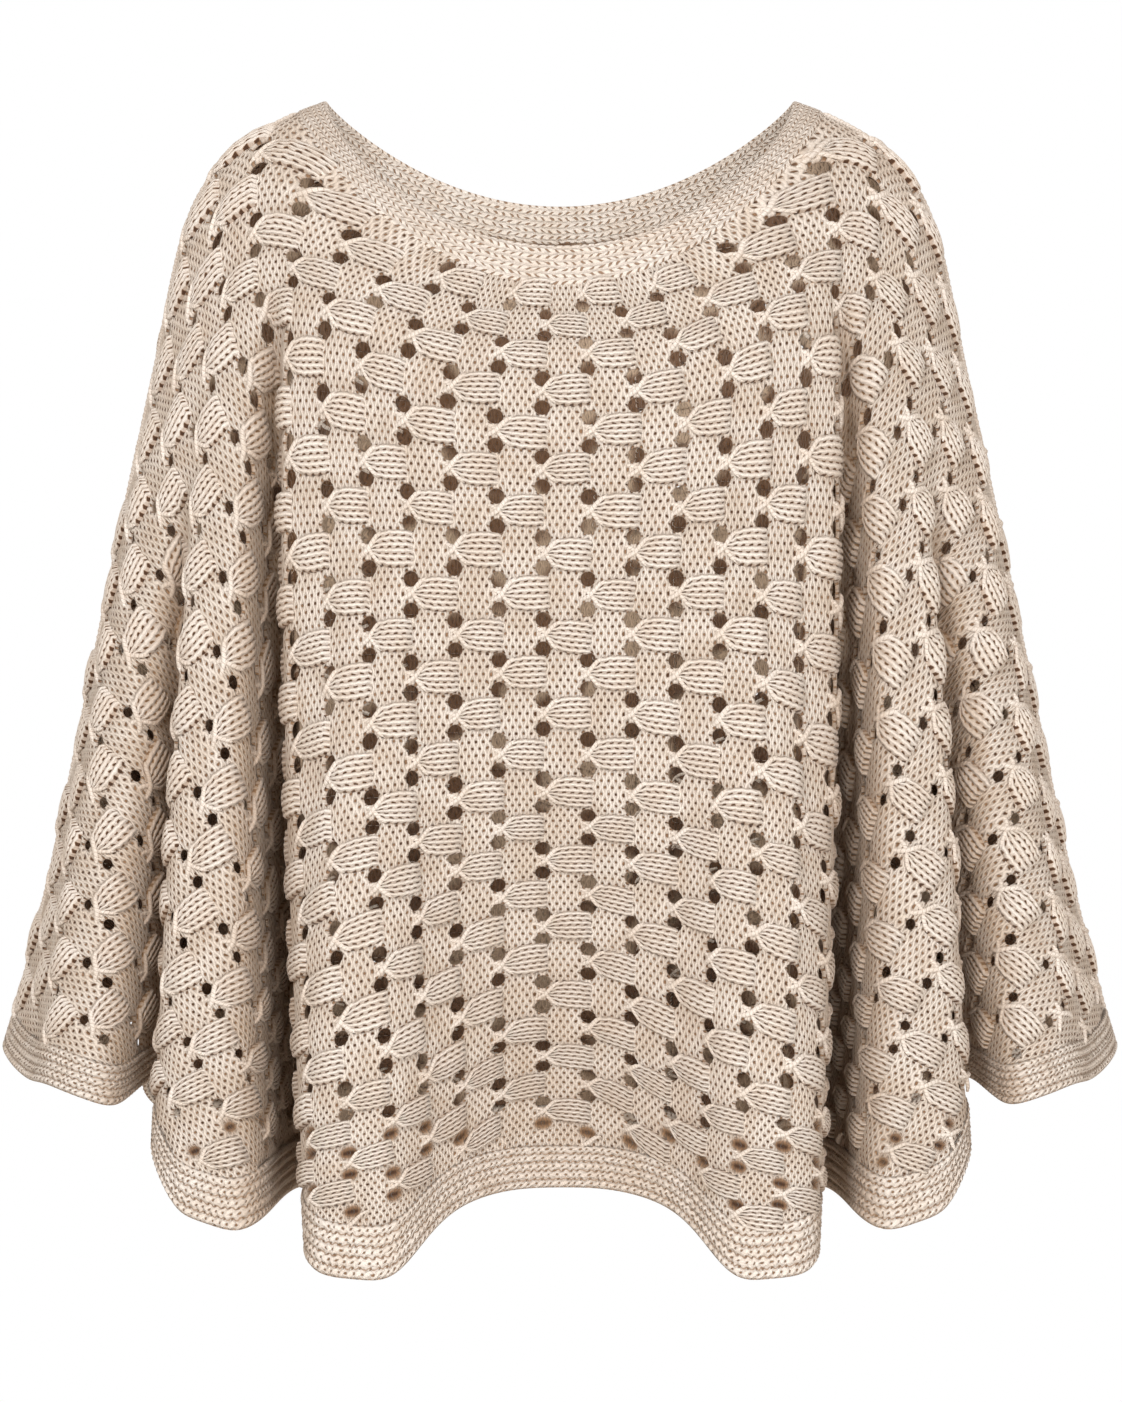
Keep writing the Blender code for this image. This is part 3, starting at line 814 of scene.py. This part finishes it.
def make_copies(name, panel, hand, shapes, share, varied=False):
    """Copies of each shape at every pinch of a panel, as one joined mesh.

    A shape is five grids: x, y and height in millimetres, and texture places along and around.
    """
    points, faces, stitches, pleats, start = [], [], [], [], 0
    for shape in shapes:
        x, y, height, along, around = (part.ravel() for part in np.broadcast_arrays(*shape))
        thread, level, stay = scatter(panel, hand, x, y, share)
        if varied:
            height = height * hand["swell"][stay, None]
            along = along + hand["start"][stay, None]
        points.append(on_cloth(thread, level, height * MM).reshape(-1, 3))
        pleats.append(pleat_at(thread, level).ravel())
        stitches.append([np.broadcast_to(part, thread.shape).ravel() for part in (along, around)])
        first = start + np.arange(len(thread)) * x.size
        faces.append((grid_faces(*shape[0].shape) + first[:, None, None]).reshape(-1, 4))
        start += thread.size
    return new_mesh(name, np.concatenate(points), np.concatenate(faces),
                    np.concatenate(stitches, axis=1), pleat=np.concatenate(pleats))


# ---- strands crossing at the pinch, in millimetres: x, y and height of each one's line

OVER_STRAND = ((-6.5, 3.6, -0.8), (-3.4, 2.3, 1.0), (-0.4, 0.3, 2.3), (2.2, -3.2, 2.4),
               (4.8, -6.4, 2.0), (7.8, -8.4, 1.2))
UNDER_STRAND = ((-6.5, -3.4, -0.8), (-3.4, -2.2, 0.7), (-0.4, -0.2, 1.3), (2.2, 3.4, 1.7),
                (4.8, 6.5, 1.7), (7.8, 8.4, 1.1))
OVER_RADIUS, UNDER_RADIUS, STRAND_SIDES = 1.5, 1.3, 6
STRAND_TAPER = (0.7, 0.95, 1.0, 1.0, 0.9, 0.6)
STRAND_KEPT_SHARE = 0.6


def tube(line, side, over, side_reach, over_reach, sides):
    """Rings of points round a line, the last point of each in the first one's place."""
    angle = (np.arange(sides + 1) / sides - 0.25) * TURN
    sideways = (side_reach[:, None] * np.cos(angle))[..., None] * side[:, None]
    return line[:, None] + sideways + (over_reach[:, None] * np.sin(angle))[..., None] * over[:, None]


def strand_shape(line, radius):
    """A tube along a line in the flat frame: x, y, height and texture places."""
    line = np.array(line, float)
    ahead = unit(np.gradient(line, axis=0))
    side = unit(np.cross(ahead, (0.0, 0.0, 1.0)))
    reach = radius * np.array(STRAND_TAPER)
    points = tube(line, side, np.cross(side, ahead), reach, reach, STRAND_SIDES)
    around = np.arange(STRAND_SIDES + 1) / STRAND_SIDES
    return (*np.moveaxis(points, -1, 0), run_length(line)[:, None] / CORD_SPOT_PITCH, around)


# ------------------------------------------------------------------ bands and seams

NUB_PITCH = 4.6              # millimetres between the nubs of garter stitch
RIDGES = 5                   # garter ridges on the hem border
RIDGE_STEPS = (0.0, 0.25, 0.5, 0.75)
RIDGE_HEIGHT = (-0.35, 0.3, 0.65, 0.3)
NUB_HEIGHT = (0.0, 0.30, 0.35, -0.30)
BORDER_FACE = 1.15           # from the cloth's middle to a face, before its ridges
BORDER_EDGE = ((RIDGES - 0.1, 0.75, 0.0), (RIDGES, 0.25, 0.0))
BAND_ROWS = 6                # rows of knitting on the neck band
BAND_PITCH = 5.2
BAND_FACE = 1.5
BAND_PIT, BAND_PLAIN, BAND_RIDGE = -0.08, 0.1, 0.15
BAND_TOP_EDGE = ((0.0, 0.35, 0, 0), (0.03, 1.1, 0, 0))
BAND_LOWER_EDGE = ((1.0, 0.9, 0, 0), (1.04, 0.2, 0, 0))
HEM_EDGE_LEVEL, BAND_MIDDLE_LEVEL = 0.98, 0.018
EDGE_SAMPLES, SEAM_SAMPLES = 6001, 2001
SEAM_PITCH, SEAM_SIDES = 4.2, 8
SEAM_HALF_WIDTH, SEAM_RISE, SEAM_HEIGHT, SEAM_KNOT = 2.0, 1.5, 0.7, 0.14
SEAM_END = 0.3               # size of the seam's two ends, as a share


def even_threads(first, last, level, step):
    """Threads spaced evenly along a ring, in an even number of steps of about that many mm."""
    fine = np.linspace(first, last, EDGE_SAMPLES)
    total = run_length(cloth_point(fine, level))
    count = 2 * round(total[-1] / (step * MM) / 2)
    return np.interp(np.linspace(0, total[-1], count + 1), total, fine)


def both_faces(profile):
    """A profile's rows down the outer face, then back up the inner one, as columns.

    The second and third number of a row are heights, and the inner face has them negated.
    """
    outer = np.array(profile, float)
    inner = outer[::-1].copy()
    inner[:, 1:3] *= -1
    return np.concatenate([outer, inner]).T[:, :, None]


def band_faces(rows, columns, closed_round):
    """Faces of a band whose profile closes on itself; its ends are closed or joined."""
    index = grid_index(rows, columns)
    index = np.concatenate([index, index[:1]], axis=0)
    if closed_round:
        index = np.concatenate([index, index[:, :1]], axis=1)
    quads = np.stack(squares(index), axis=-1).reshape(-1, 4)
    if closed_round:
        return quads
    k = np.arange(rows // 2 - 1)
    across = index[np.array([k, rows - 1 - k, rows - 2 - k, k + 1])]
    return np.concatenate([quads, across[:, :, 0].T, across[::-1, :, -1].T])


def make_hem(name, first, last):
    """Garter-stitch border: ridges on both faces, and a rounded hem edge."""
    threads = even_threads(first, last, HEM_EDGE_LEVEL, NUB_PITCH / 2)
    profile = [(ridge + step, height + BORDER_FACE, nub) for ridge in range(RIDGES)
               for step, height, nub in zip(RIDGE_STEPS, RIDGE_HEIGHT, NUB_HEIGHT)]
    place, height, nub = both_faces([*profile, *BORDER_EDGE])
    column = np.arange(len(threads))
    height = height + nub * np.where(column % 2 == 0, 1.0, -1.0)
    level = BORDER_START + (1 - BORDER_START) * place / RIDGES
    behind = np.arange(len(place))[:, None] >= len(place) // 2
    ridge = np.where(behind, 2 * RIDGES - place, place)
    return new_mesh(name, on_cloth(threads, level, height * MM),
                    band_faces(len(place), len(threads), False), (column / 2, ridge),
                    pleat=pleat_at(threads, level))


def make_neck(name):
    """The firm band round the boat neck, with rows of shallow pits and a rounded edge."""
    threads = even_threads(0, TURN, BAND_MIDDLE_LEVEL, BAND_PITCH / 2)[:-1]
    profile = [(k / (2 * BAND_ROWS), BAND_FACE + BAND_RIDGE * (k % 2), 1 - k % 2, k // 2)
               for k in range(1, 2 * BAND_ROWS)]
    place, height, pitted, order = both_faces([*BAND_TOP_EDGE, *profile, *BAND_LOWER_EDGE])
    column = np.arange(len(threads))
    height = height + pitted * np.where((column + order) % 2 == 0, BAND_PIT, BAND_PLAIN)
    return new_mesh(name, on_cloth(threads, BAND_END * place, height * MM),
                    band_faces(len(place), len(threads), True),
                    (column / 2, BAND_ROWS * place), around=len(threads) / 2)


def make_seam(name, thread):
    """The raised chain over an arm line, from the neck band to the hem."""
    fine = np.linspace(BAND_END, 1.0, SEAM_SAMPLES)
    length = run_length(cloth_point(thread, fine))
    count = 2 * round(length[-1] / (SEAM_PITCH * MM))
    place = np.linspace(0, length[-1], count + 1)
    level = np.interp(place, length, fine)
    centre = on_cloth(thread, level, SEAM_HEIGHT * MM)
    outward = cloth_normal(thread, level)
    side = np.cross(outward, unit(np.gradient(centre, axis=0)))
    knot = 1 + SEAM_KNOT * np.where(np.arange(count + 1) % 2 == 0, 1, -1)
    knot[[0, -1]] = SEAM_END
    points = tube(centre, side, outward, SEAM_HALF_WIDTH * MM * knot, SEAM_RISE * MM * knot,
                  SEAM_SIDES)
    around = (np.arange(SEAM_SIDES + 1) / SEAM_SIDES - 0.25) * 2
    return new_mesh(name, points, grid_faces(*points.shape[:2])[:, ::-1],
                    (place[:, None] / (SEAM_PITCH * MM), around))


# ------------------------------------------------------------------ materials


def tone(red, green, blue):
    """A colour given as it looks on a screen, from 0 to 255, as linear light."""
    share = np.array([red, green, blue]) / 255
    linear = np.where(share <= 0.04045, share / 12.92, ((share + 0.055) / 1.055) ** 2.4)
    return (*linear.tolist(), 1.0)


PALE_YARN = tone(248, 243, 237)
MAIN_YARN = tone(239, 230, 220)
# The net's yarn is the shells' yarn with painted shade, darker since the net lies deeper.
SHADED_NET_YARNS = (tone(228, 216, 203), tone(243, 236, 228))
# Painted shade in the knitting's gaps, grooves and crevices, lighter and deeper.
CREVICE_SHADE = tone(146, 114, 86)
DEEP_SHADE = tone(76, 48, 28)
PLEAT_SHADE_TONE, PLEAT_SHADE_SHARE = tone(158, 125, 90), 0.78   # painted shade on yarn deep in a pleat, and how strong it is
INSIDE_SHADE_TONES = (tone(186, 164, 142), tone(104, 71, 43))   # painted shade on the ground's wrong side, in lighter and darker patches
INSIDE_SHADE_SHARE, INSIDE_SHADE_SCALE = 0.95, 40.0
YARN_ROUGHNESS = 0.88
SHEEN_WEIGHT, SHEEN_ROUGHNESS = 0.25, 0.5
MOTTLE_SCALE, FIBRE_SCALE = 60.0, 1400.0       # per metre
FIBRE_SHADE_SHARE = 0.22           # of painted crevice shade between the fibres
FIBRE_HEIGHT = 0.10
NET_WANDER, GARTER_WANDER, BAND_WANDER = 0.25, 0.3, 0.7      # of a stitch or a row
STRAND_SWAY, STRAND_PLACE, STRAND_HALF = 0.11, 0.25, 0.19    # of a stitch of the net
CORD_SWAY, SPOT_SHIFT = 0.07, 0.37     # of a cord, and of a spot from cord to cord
BUMP_DISTANCE = 0.9 * MM
MIX_SHARE, MIX_FIRST, MIX_SECOND, MIX_RESULT = 0, 6, 7, 2    # a Mix node's colour sockets


def by_node(operation):
    """A method that adds a node for one operation on a signal and any other values."""
    def method(self, *others):
        return self.paint.node("ShaderNodeMath", enumerate((self, *others)),
                               operation=operation)
    return method


class Signal:
    """A node's output, to be reckoned with like a number."""

    def __init__(self, paint, socket):
        self.paint = paint
        self.socket = socket

    __add__, __sub__ = by_node("ADD"), by_node("SUBTRACT")
    __mul__, __truediv__ = by_node("MULTIPLY"), by_node("DIVIDE")
    at_least, root, floor = by_node("MAXIMUM"), by_node("SQRT"), by_node("FLOOR")
    fraction, size, cosine = by_node("FRACT"), by_node("ABSOLUTE"), by_node("COSINE")

    def __rsub__(self, other):
        return self * -1.0 + other

    def wave(self, turns=1.0, phase=0.0):
        """cos(2 pi (value x turns + phase))"""
        return (self * (TURN * turns) + TURN * phase).cosine()

    def from_whole(self):
        """Distance from the nearest whole number."""
        return ((self + 0.5).fraction() - 0.5).size()

    def steps(self, low, high, out_low=0.0, out_high=1.0):
        """A smooth change between two outputs, as the signal goes from low to high."""
        inputs = enumerate((self, low, high, out_low, out_high))
        return self.paint.node("ShaderNodeMapRange", inputs, interpolation_type="SMOOTHSTEP")


class Painter:
    """Adds shader nodes to a material or the world."""

    def __init__(self, owner):
        owner.use_nodes = True
        self.owner = owner
        self.tree = owner.node_tree

    def link(self, value, socket):
        """Links a signal to a socket, or sets the socket to a number or colour."""
        if isinstance(value, Signal):
            self.tree.links.new(value.socket, socket)
        else:
            socket.default_value = value

    def node(self, kind, inputs=(), output=0, **settings):
        """Adds a node and returns one of its outputs. Inputs go by socket name or number."""
        node = self.tree.nodes.new(kind)
        for name, value in settings.items():
            setattr(node, name, value)
        for key, value in dict(inputs).items():
            self.link(value, node.inputs[key])
        return Signal(self, node.outputs[output])

    def mix(self, share, first, second):
        """A colour between two others."""
        inputs = {MIX_SHARE: share, MIX_FIRST: first, MIX_SECOND: second}
        return self.node("ShaderNodeMix", inputs, MIX_RESULT, data_type="RGBA")

    def stitches(self):
        """The place in the stitch pattern, across and down."""
        place = {0: self.node("ShaderNodeUVMap", uv_map="Stitches")}
        return [self.node("ShaderNodeSeparateXYZ", place, axis) for axis in "XY"]

    def attribute(self, name):
        return self.node("ShaderNodeAttribute", output="Fac", attribute_name=name)

    def noise(self, scale, detail=2.0):
        place = self.node("ShaderNodeTexCoord", output="Object")
        return self.node("ShaderNodeTexNoise",
                         {"Vector": place, "Scale": scale, "Detail": detail})

    def wander(self, value, scale, most):
        """A value moved about by noise."""
        return value + (self.noise(scale) - 0.5) * most

    def finish(self, painted_shade, height, yarns=(MAIN_YARN, PALE_YARN), inside=False):
        """Yarn colours and bump from a pattern's painted shade and height, both from 0 to 1. Painted
        shade also goes between the fibres, deep in the pleats, and on the wrong side if asked.
        """
        fibre = self.noise(FIBRE_SCALE, 3.0)
        colour = self.mix(self.noise(MOTTLE_SCALE).steps(0.3, 0.7), *yarns)
        # Painted shade between the fibres.
        colour = self.mix(fibre.steps(0.35, 0.65, FIBRE_SHADE_SHARE, 0.0), colour, CREVICE_SHADE)
        # Painted shade in the pattern's gaps and grooves, lighter and deeper.
        colour = self.mix(painted_shade.steps(0.0, 0.6), colour, CREVICE_SHADE)
        colour = self.mix(painted_shade.steps(0.55, 1.0), colour, DEEP_SHADE)
        # Painted shade deep in the pleats.
        colour = self.mix(self.attribute("pleat") * PLEAT_SHADE_SHARE, colour, PLEAT_SHADE_TONE)
        # On the wrong side of the ground, patches of painted shade for the dim light inside the
        # poncho.
        if inside:
            wrong_side = self.node("ShaderNodeNewGeometry", output="Backfacing")
            inside_shade_patches = self.mix(self.noise(INSIDE_SHADE_SCALE, 0.0).steps(0.32, 0.50), *INSIDE_SHADE_TONES)
            colour = self.mix(wrong_side * INSIDE_SHADE_SHARE, colour, inside_shade_patches)
        relief = {"Distance": BUMP_DISTANCE, "Height": fibre * FIBRE_HEIGHT + height}
        shader = self.tree.nodes["Principled BSDF"]
        for name, value in (("Base Color", colour),
                            ("Normal", self.node("ShaderNodeBump", relief)),
                            ("Roughness", YARN_ROUGHNESS), ("Sheen Weight", SHEEN_WEIGHT),
                            ("Sheen Roughness", SHEEN_ROUGHNESS), ("Sheen Tint", PALE_YARN)):
            self.link(value, shader.inputs[name])
        return self.owner


def new_material(name):
    return Painter(bpy.data.materials.new(name))


def net_material():
    """Wavy upright strands that touch and part round small lens-shaped gaps, with painted shade in
    the gaps and between the strands.
    """
    paint = new_material("lace_net_yarn")
    x, y = paint.stitches()
    x = paint.wander(x, 400.0, NET_WANDER)
    sway = y.wave(0.5)
    gap = x.wave() * (sway * sway * sway)
    # Painted shade in the eyelets' lips and closed pits.
    crevice = paint.attribute("crevice")
    plain = (1.0 - crevice).at_least(0.0)
    uneven = paint.noise(170.0).steps(0.3, 0.7, 0.55, 1.0)
    # Painted shade in the gaps, and in the eyelets.
    painted_shade = gap.steps(0.22, 0.75) * plain * uneven + crevice * 0.35
    off_strand = (x.from_whole() - (sway * STRAND_SWAY + STRAND_PLACE)) / STRAND_HALF
    round_top = (1.0 - off_strand * off_strand).at_least(0.0).root()
    # Painted shade between the strands.
    between_strand_shade = round_top.steps(0.0, 0.5, 0.22, 0.0) * plain
    height = round_top - gap.steps(0.0, 0.8)
    return paint.finish(painted_shade.at_least(between_strand_shade), height, SHADED_NET_YARNS, inside=True)


def shell_material():
    """Smooth cords side by side, with painted shade as dark elongated spots in their grooves."""
    paint = new_material("shell_cord_yarn")
    along, cord = paint.stitches()
    cord = cord + along.wave() * CORD_SWAY
    groove = cord.from_whole()
    nearest = (cord + 0.5).floor()
    spot = (along + nearest * SPOT_SHIFT).wave().steps(-0.3, 0.6, 0.3, 1.0)
    ply = (cord + along * 1.5).wave()
    # Painted shade in the grooves, in spots.
    return paint.finish(groove.steps(0.22, 0.05) * spot, groove.steps(0.0, 0.4) + ply * 0.06)


def strand_material():
    """Plied yarn, with painted shade between the plies."""
    paint = new_material("strand_yarn")
    along, around = paint.stitches()
    ply = (along * 2.0 + around).wave()
    # Painted shade between the plies.
    return paint.finish(ply.steps(-0.6, -1.0, 0.0, 0.25), ply * 0.12)


def garter_material():
    """Garter stitch: nubbed ridges, with painted shade in the grooves between them and in dots
    between the nubs.
    """
    paint = new_material("garter_yarn")
    x, y = paint.stitches()
    x = x + paint.noise(120.0) * 1.4
    y = paint.wander(y, 260.0, GARTER_WANDER)
    groove = (y + x.wave() * 0.10).from_whole()
    lean = x + y * 0.6
    dot = lean.wave() * y.wave(phase=0.5)
    # Painted shade in the grooves and dots.
    painted_shade = groove.steps(0.18, 0.0, 0.0, 0.45).at_least(dot.steps(0.55, 0.95, 0.0, 0.7))
    ridge = groove.steps(0.0, 0.35) + lean.wave(phase=0.5) * 0.3
    return paint.finish(painted_shade, ridge - dot.steps(0.3, 0.9))


def band_material():
    """Knit columns along the band: short dashes that slant one way, then the other, as painted shade,
    with lines of painted shade between the rows.
    """
    paint = new_material("band_yarn")
    x, y = paint.stitches()
    y = paint.wander(y, 220.0, BAND_WANDER)
    row = (y + 0.5).floor()
    slant = row.wave(0.5) * (y - row)
    x = x + paint.noise(160.0) * 0.9 + slant * 0.8
    off_row = y.from_whole()
    dash = x.wave().steps(0.2, 0.9) * off_row.steps(0.42, 0.15)
    # A line of painted shade between the rows.
    line = off_row.steps(0.40, 0.5, 0.0, 0.25)
    return paint.finish((dash * 0.5).at_least(line), off_row.steps(0.5, 0.2) - dash)


# ------------------------------------------------------------------ light, floor, camera

SEEN_WORLD = (1.0, 1.0, 1.0, 1.0)
LIGHT_ABOVE, LIGHT_BELOW = (0.53, 0.44, 0.36, 1.0), (0.28, 0.20, 0.13, 1.0)
CAMERA_PLACE = (0.0006, -3.0, -0.3655)
HALF_VIEW = 0.4283           # metres seen above the view's middle at the poncho's own depth
FLOOR_HEIGHT, FLOOR_HALF = -1.40, 3.2
FLOOR_TONE, FLOOR_ROUGHNESS = tone(214, 210, 204), 0.9
MIDDLE, INNER_BACK = (0.0, 0.0, -0.35), (0.0, 0.5, -0.22)
DAY_LAMP, WARM_LAMP = (1.0, 1.0, 1.0), (1.0, 0.94, 0.86)
LIGHT_COLUMNS = ("name", "place", "aimed_at", "size", "watts", "colour")
LIGHTS = (
    ("key", (-1.2, -3.1, 1.4), MIDDLE, 1.0, 60, DAY_LAMP),
    ("fill", (0.9, -3.3, -0.6), MIDDLE, 1.4, 49, DAY_LAMP),
    ("top", (0.2, -0.6, 2.3), MIDDLE, 1.6, 2, DAY_LAMP),
    ("back", (0.5, 3.6, 1.2), MIDDLE, 1.5, 78, DAY_LAMP),
    ("inside", (0.0, -0.08, -0.26), INNER_BACK, 0.3, 0.48, WARM_LAMP),
)


def make_world():
    """White to look at, and a softer, warmer light that comes more from above."""
    world = bpy.data.worlds.new("studio")
    bpy.context.scene.world = world
    paint = Painter(world)
    place = {0: paint.node("ShaderNodeTexCoord", output="Generated")}
    upward = paint.node("ShaderNodeSeparateXYZ", place, "Z")
    share = paint.node("ShaderNodeMapRange", {"Value": upward, "From Min": -1.0})
    light = paint.mix(share, LIGHT_BELOW, LIGHT_ABOVE)
    to_camera = paint.node("ShaderNodeLightPath", output="Is Camera Ray")
    colour = paint.mix(to_camera, light, SEEN_WORLD)
    paint.link(colour, world.node_tree.nodes["Background"].inputs["Color"])


def make_stage():
    data = bpy.data.meshes.new("floor")
    half = FLOOR_HALF
    corners = [(-half, -half, 0), (half, -half, 0), (half, half, 0), (-half, half, 0)]
    data.from_pydata(corners, [], [(0, 1, 2, 3)])
    paint = new_material("floor_paint")
    shader = paint.tree.nodes["Principled BSDF"]
    shader.inputs["Base Color"].default_value = FLOOR_TONE
    shader.inputs["Roughness"].default_value = FLOOR_ROUGHNESS
    data.materials.append(paint.owner)
    add_object("floor", data, (0, 0, FLOOR_HEIGHT))
    for row in LIGHTS:
        light = dict(zip(LIGHT_COLUMNS, row))
        lamp = bpy.data.lights.new(light["name"], "AREA")
        lamp.energy = light["watts"]
        lamp.size = light["size"]
        lamp.color = light["colour"]
        holder = add_object(light["name"], lamp, light["place"])
        holder.visible_camera = False
        ahead = Vector(light["aimed_at"]) - holder.location
        holder.rotation_euler = ahead.to_track_quat("-Z", "Y").to_euler()


def make_camera():
    lens = bpy.data.cameras.new("view")
    lens.sensor_fit = "VERTICAL"
    lens.angle_y = 2 * math.atan(HALF_VIEW / -CAMERA_PLACE[1])
    camera = add_object("view", lens, CAMERA_PLACE)
    camera.rotation_euler = (QUARTER, 0, 0)
    bpy.context.scene.camera = camera


# ------------------------------------------------------------------ the poncho

# A row for each panel: its side, first and last thread, rows' turns, and seed of chance.
PANELS = (
    ("front", -QUARTER, QUARTER, FRONT_TURNS, 1),
    ("back", QUARTER, 3 * QUARTER, BACK_TURNS, 2),
)


def dress(piece, material, slot, *nodes):
    """Gives a piece its material and body, and hides the CAD nodes that it stands for. Its slot is
    not used.
    """
    piece.data.materials.append(material)
    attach(piece, "root")
    if nodes:
        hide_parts(*nodes)
    return piece


def main():
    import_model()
    make_world()
    make_stage()
    make_camera()
    bpy.context.scene.view_settings.view_transform = "Standard"

    net, shell, strand = net_material(), shell_material(), strand_material()
    garter, band = garter_material(), band_material()
    crossing = [strand_shape(OVER_STRAND, OVER_RADIUS), strand_shape(UNDER_STRAND, UNDER_RADIUS)]
    sights = np.zeros((0, 2))
    for side, first, last, table, seed in PANELS:
        panel = knit_map(first, last, table)
        panel["first_pinch"] = FIRST_PINCH[side]
        sights, sights_in_front = eyelet_sights(panel), sights
        closed = lined_up(sights, sights_in_front)
        hand = hand_of_knitter(panel, seed)
        ground = dress(make_net(side + "_net", panel, side, closed), net, "lace_knit",
                       side + "_panel")
        shells = dress(make_copies(side + "_shells", panel, hand, [shell_shape()],
                                   SHELL_KEPT_SHARE, varied=True), shell, "lace_knit")
        strands = dress(make_copies(side + "_strands", panel, hand, crossing,
                                    STRAND_KEPT_SHARE), strand, "lace_knit")
        hem = dress(make_hem("hem_knit_" + side, first, last), garter, "garter_knit",
                    "hem_border_" + side)
    dress(make_neck("neck_knit"), band, "band_knit", "neck_band")
    for side, thread in (("right", QUARTER), ("left", -QUARTER)):
        dress(make_seam("arm_seam_" + side, thread), strand, "lace_knit")


main()
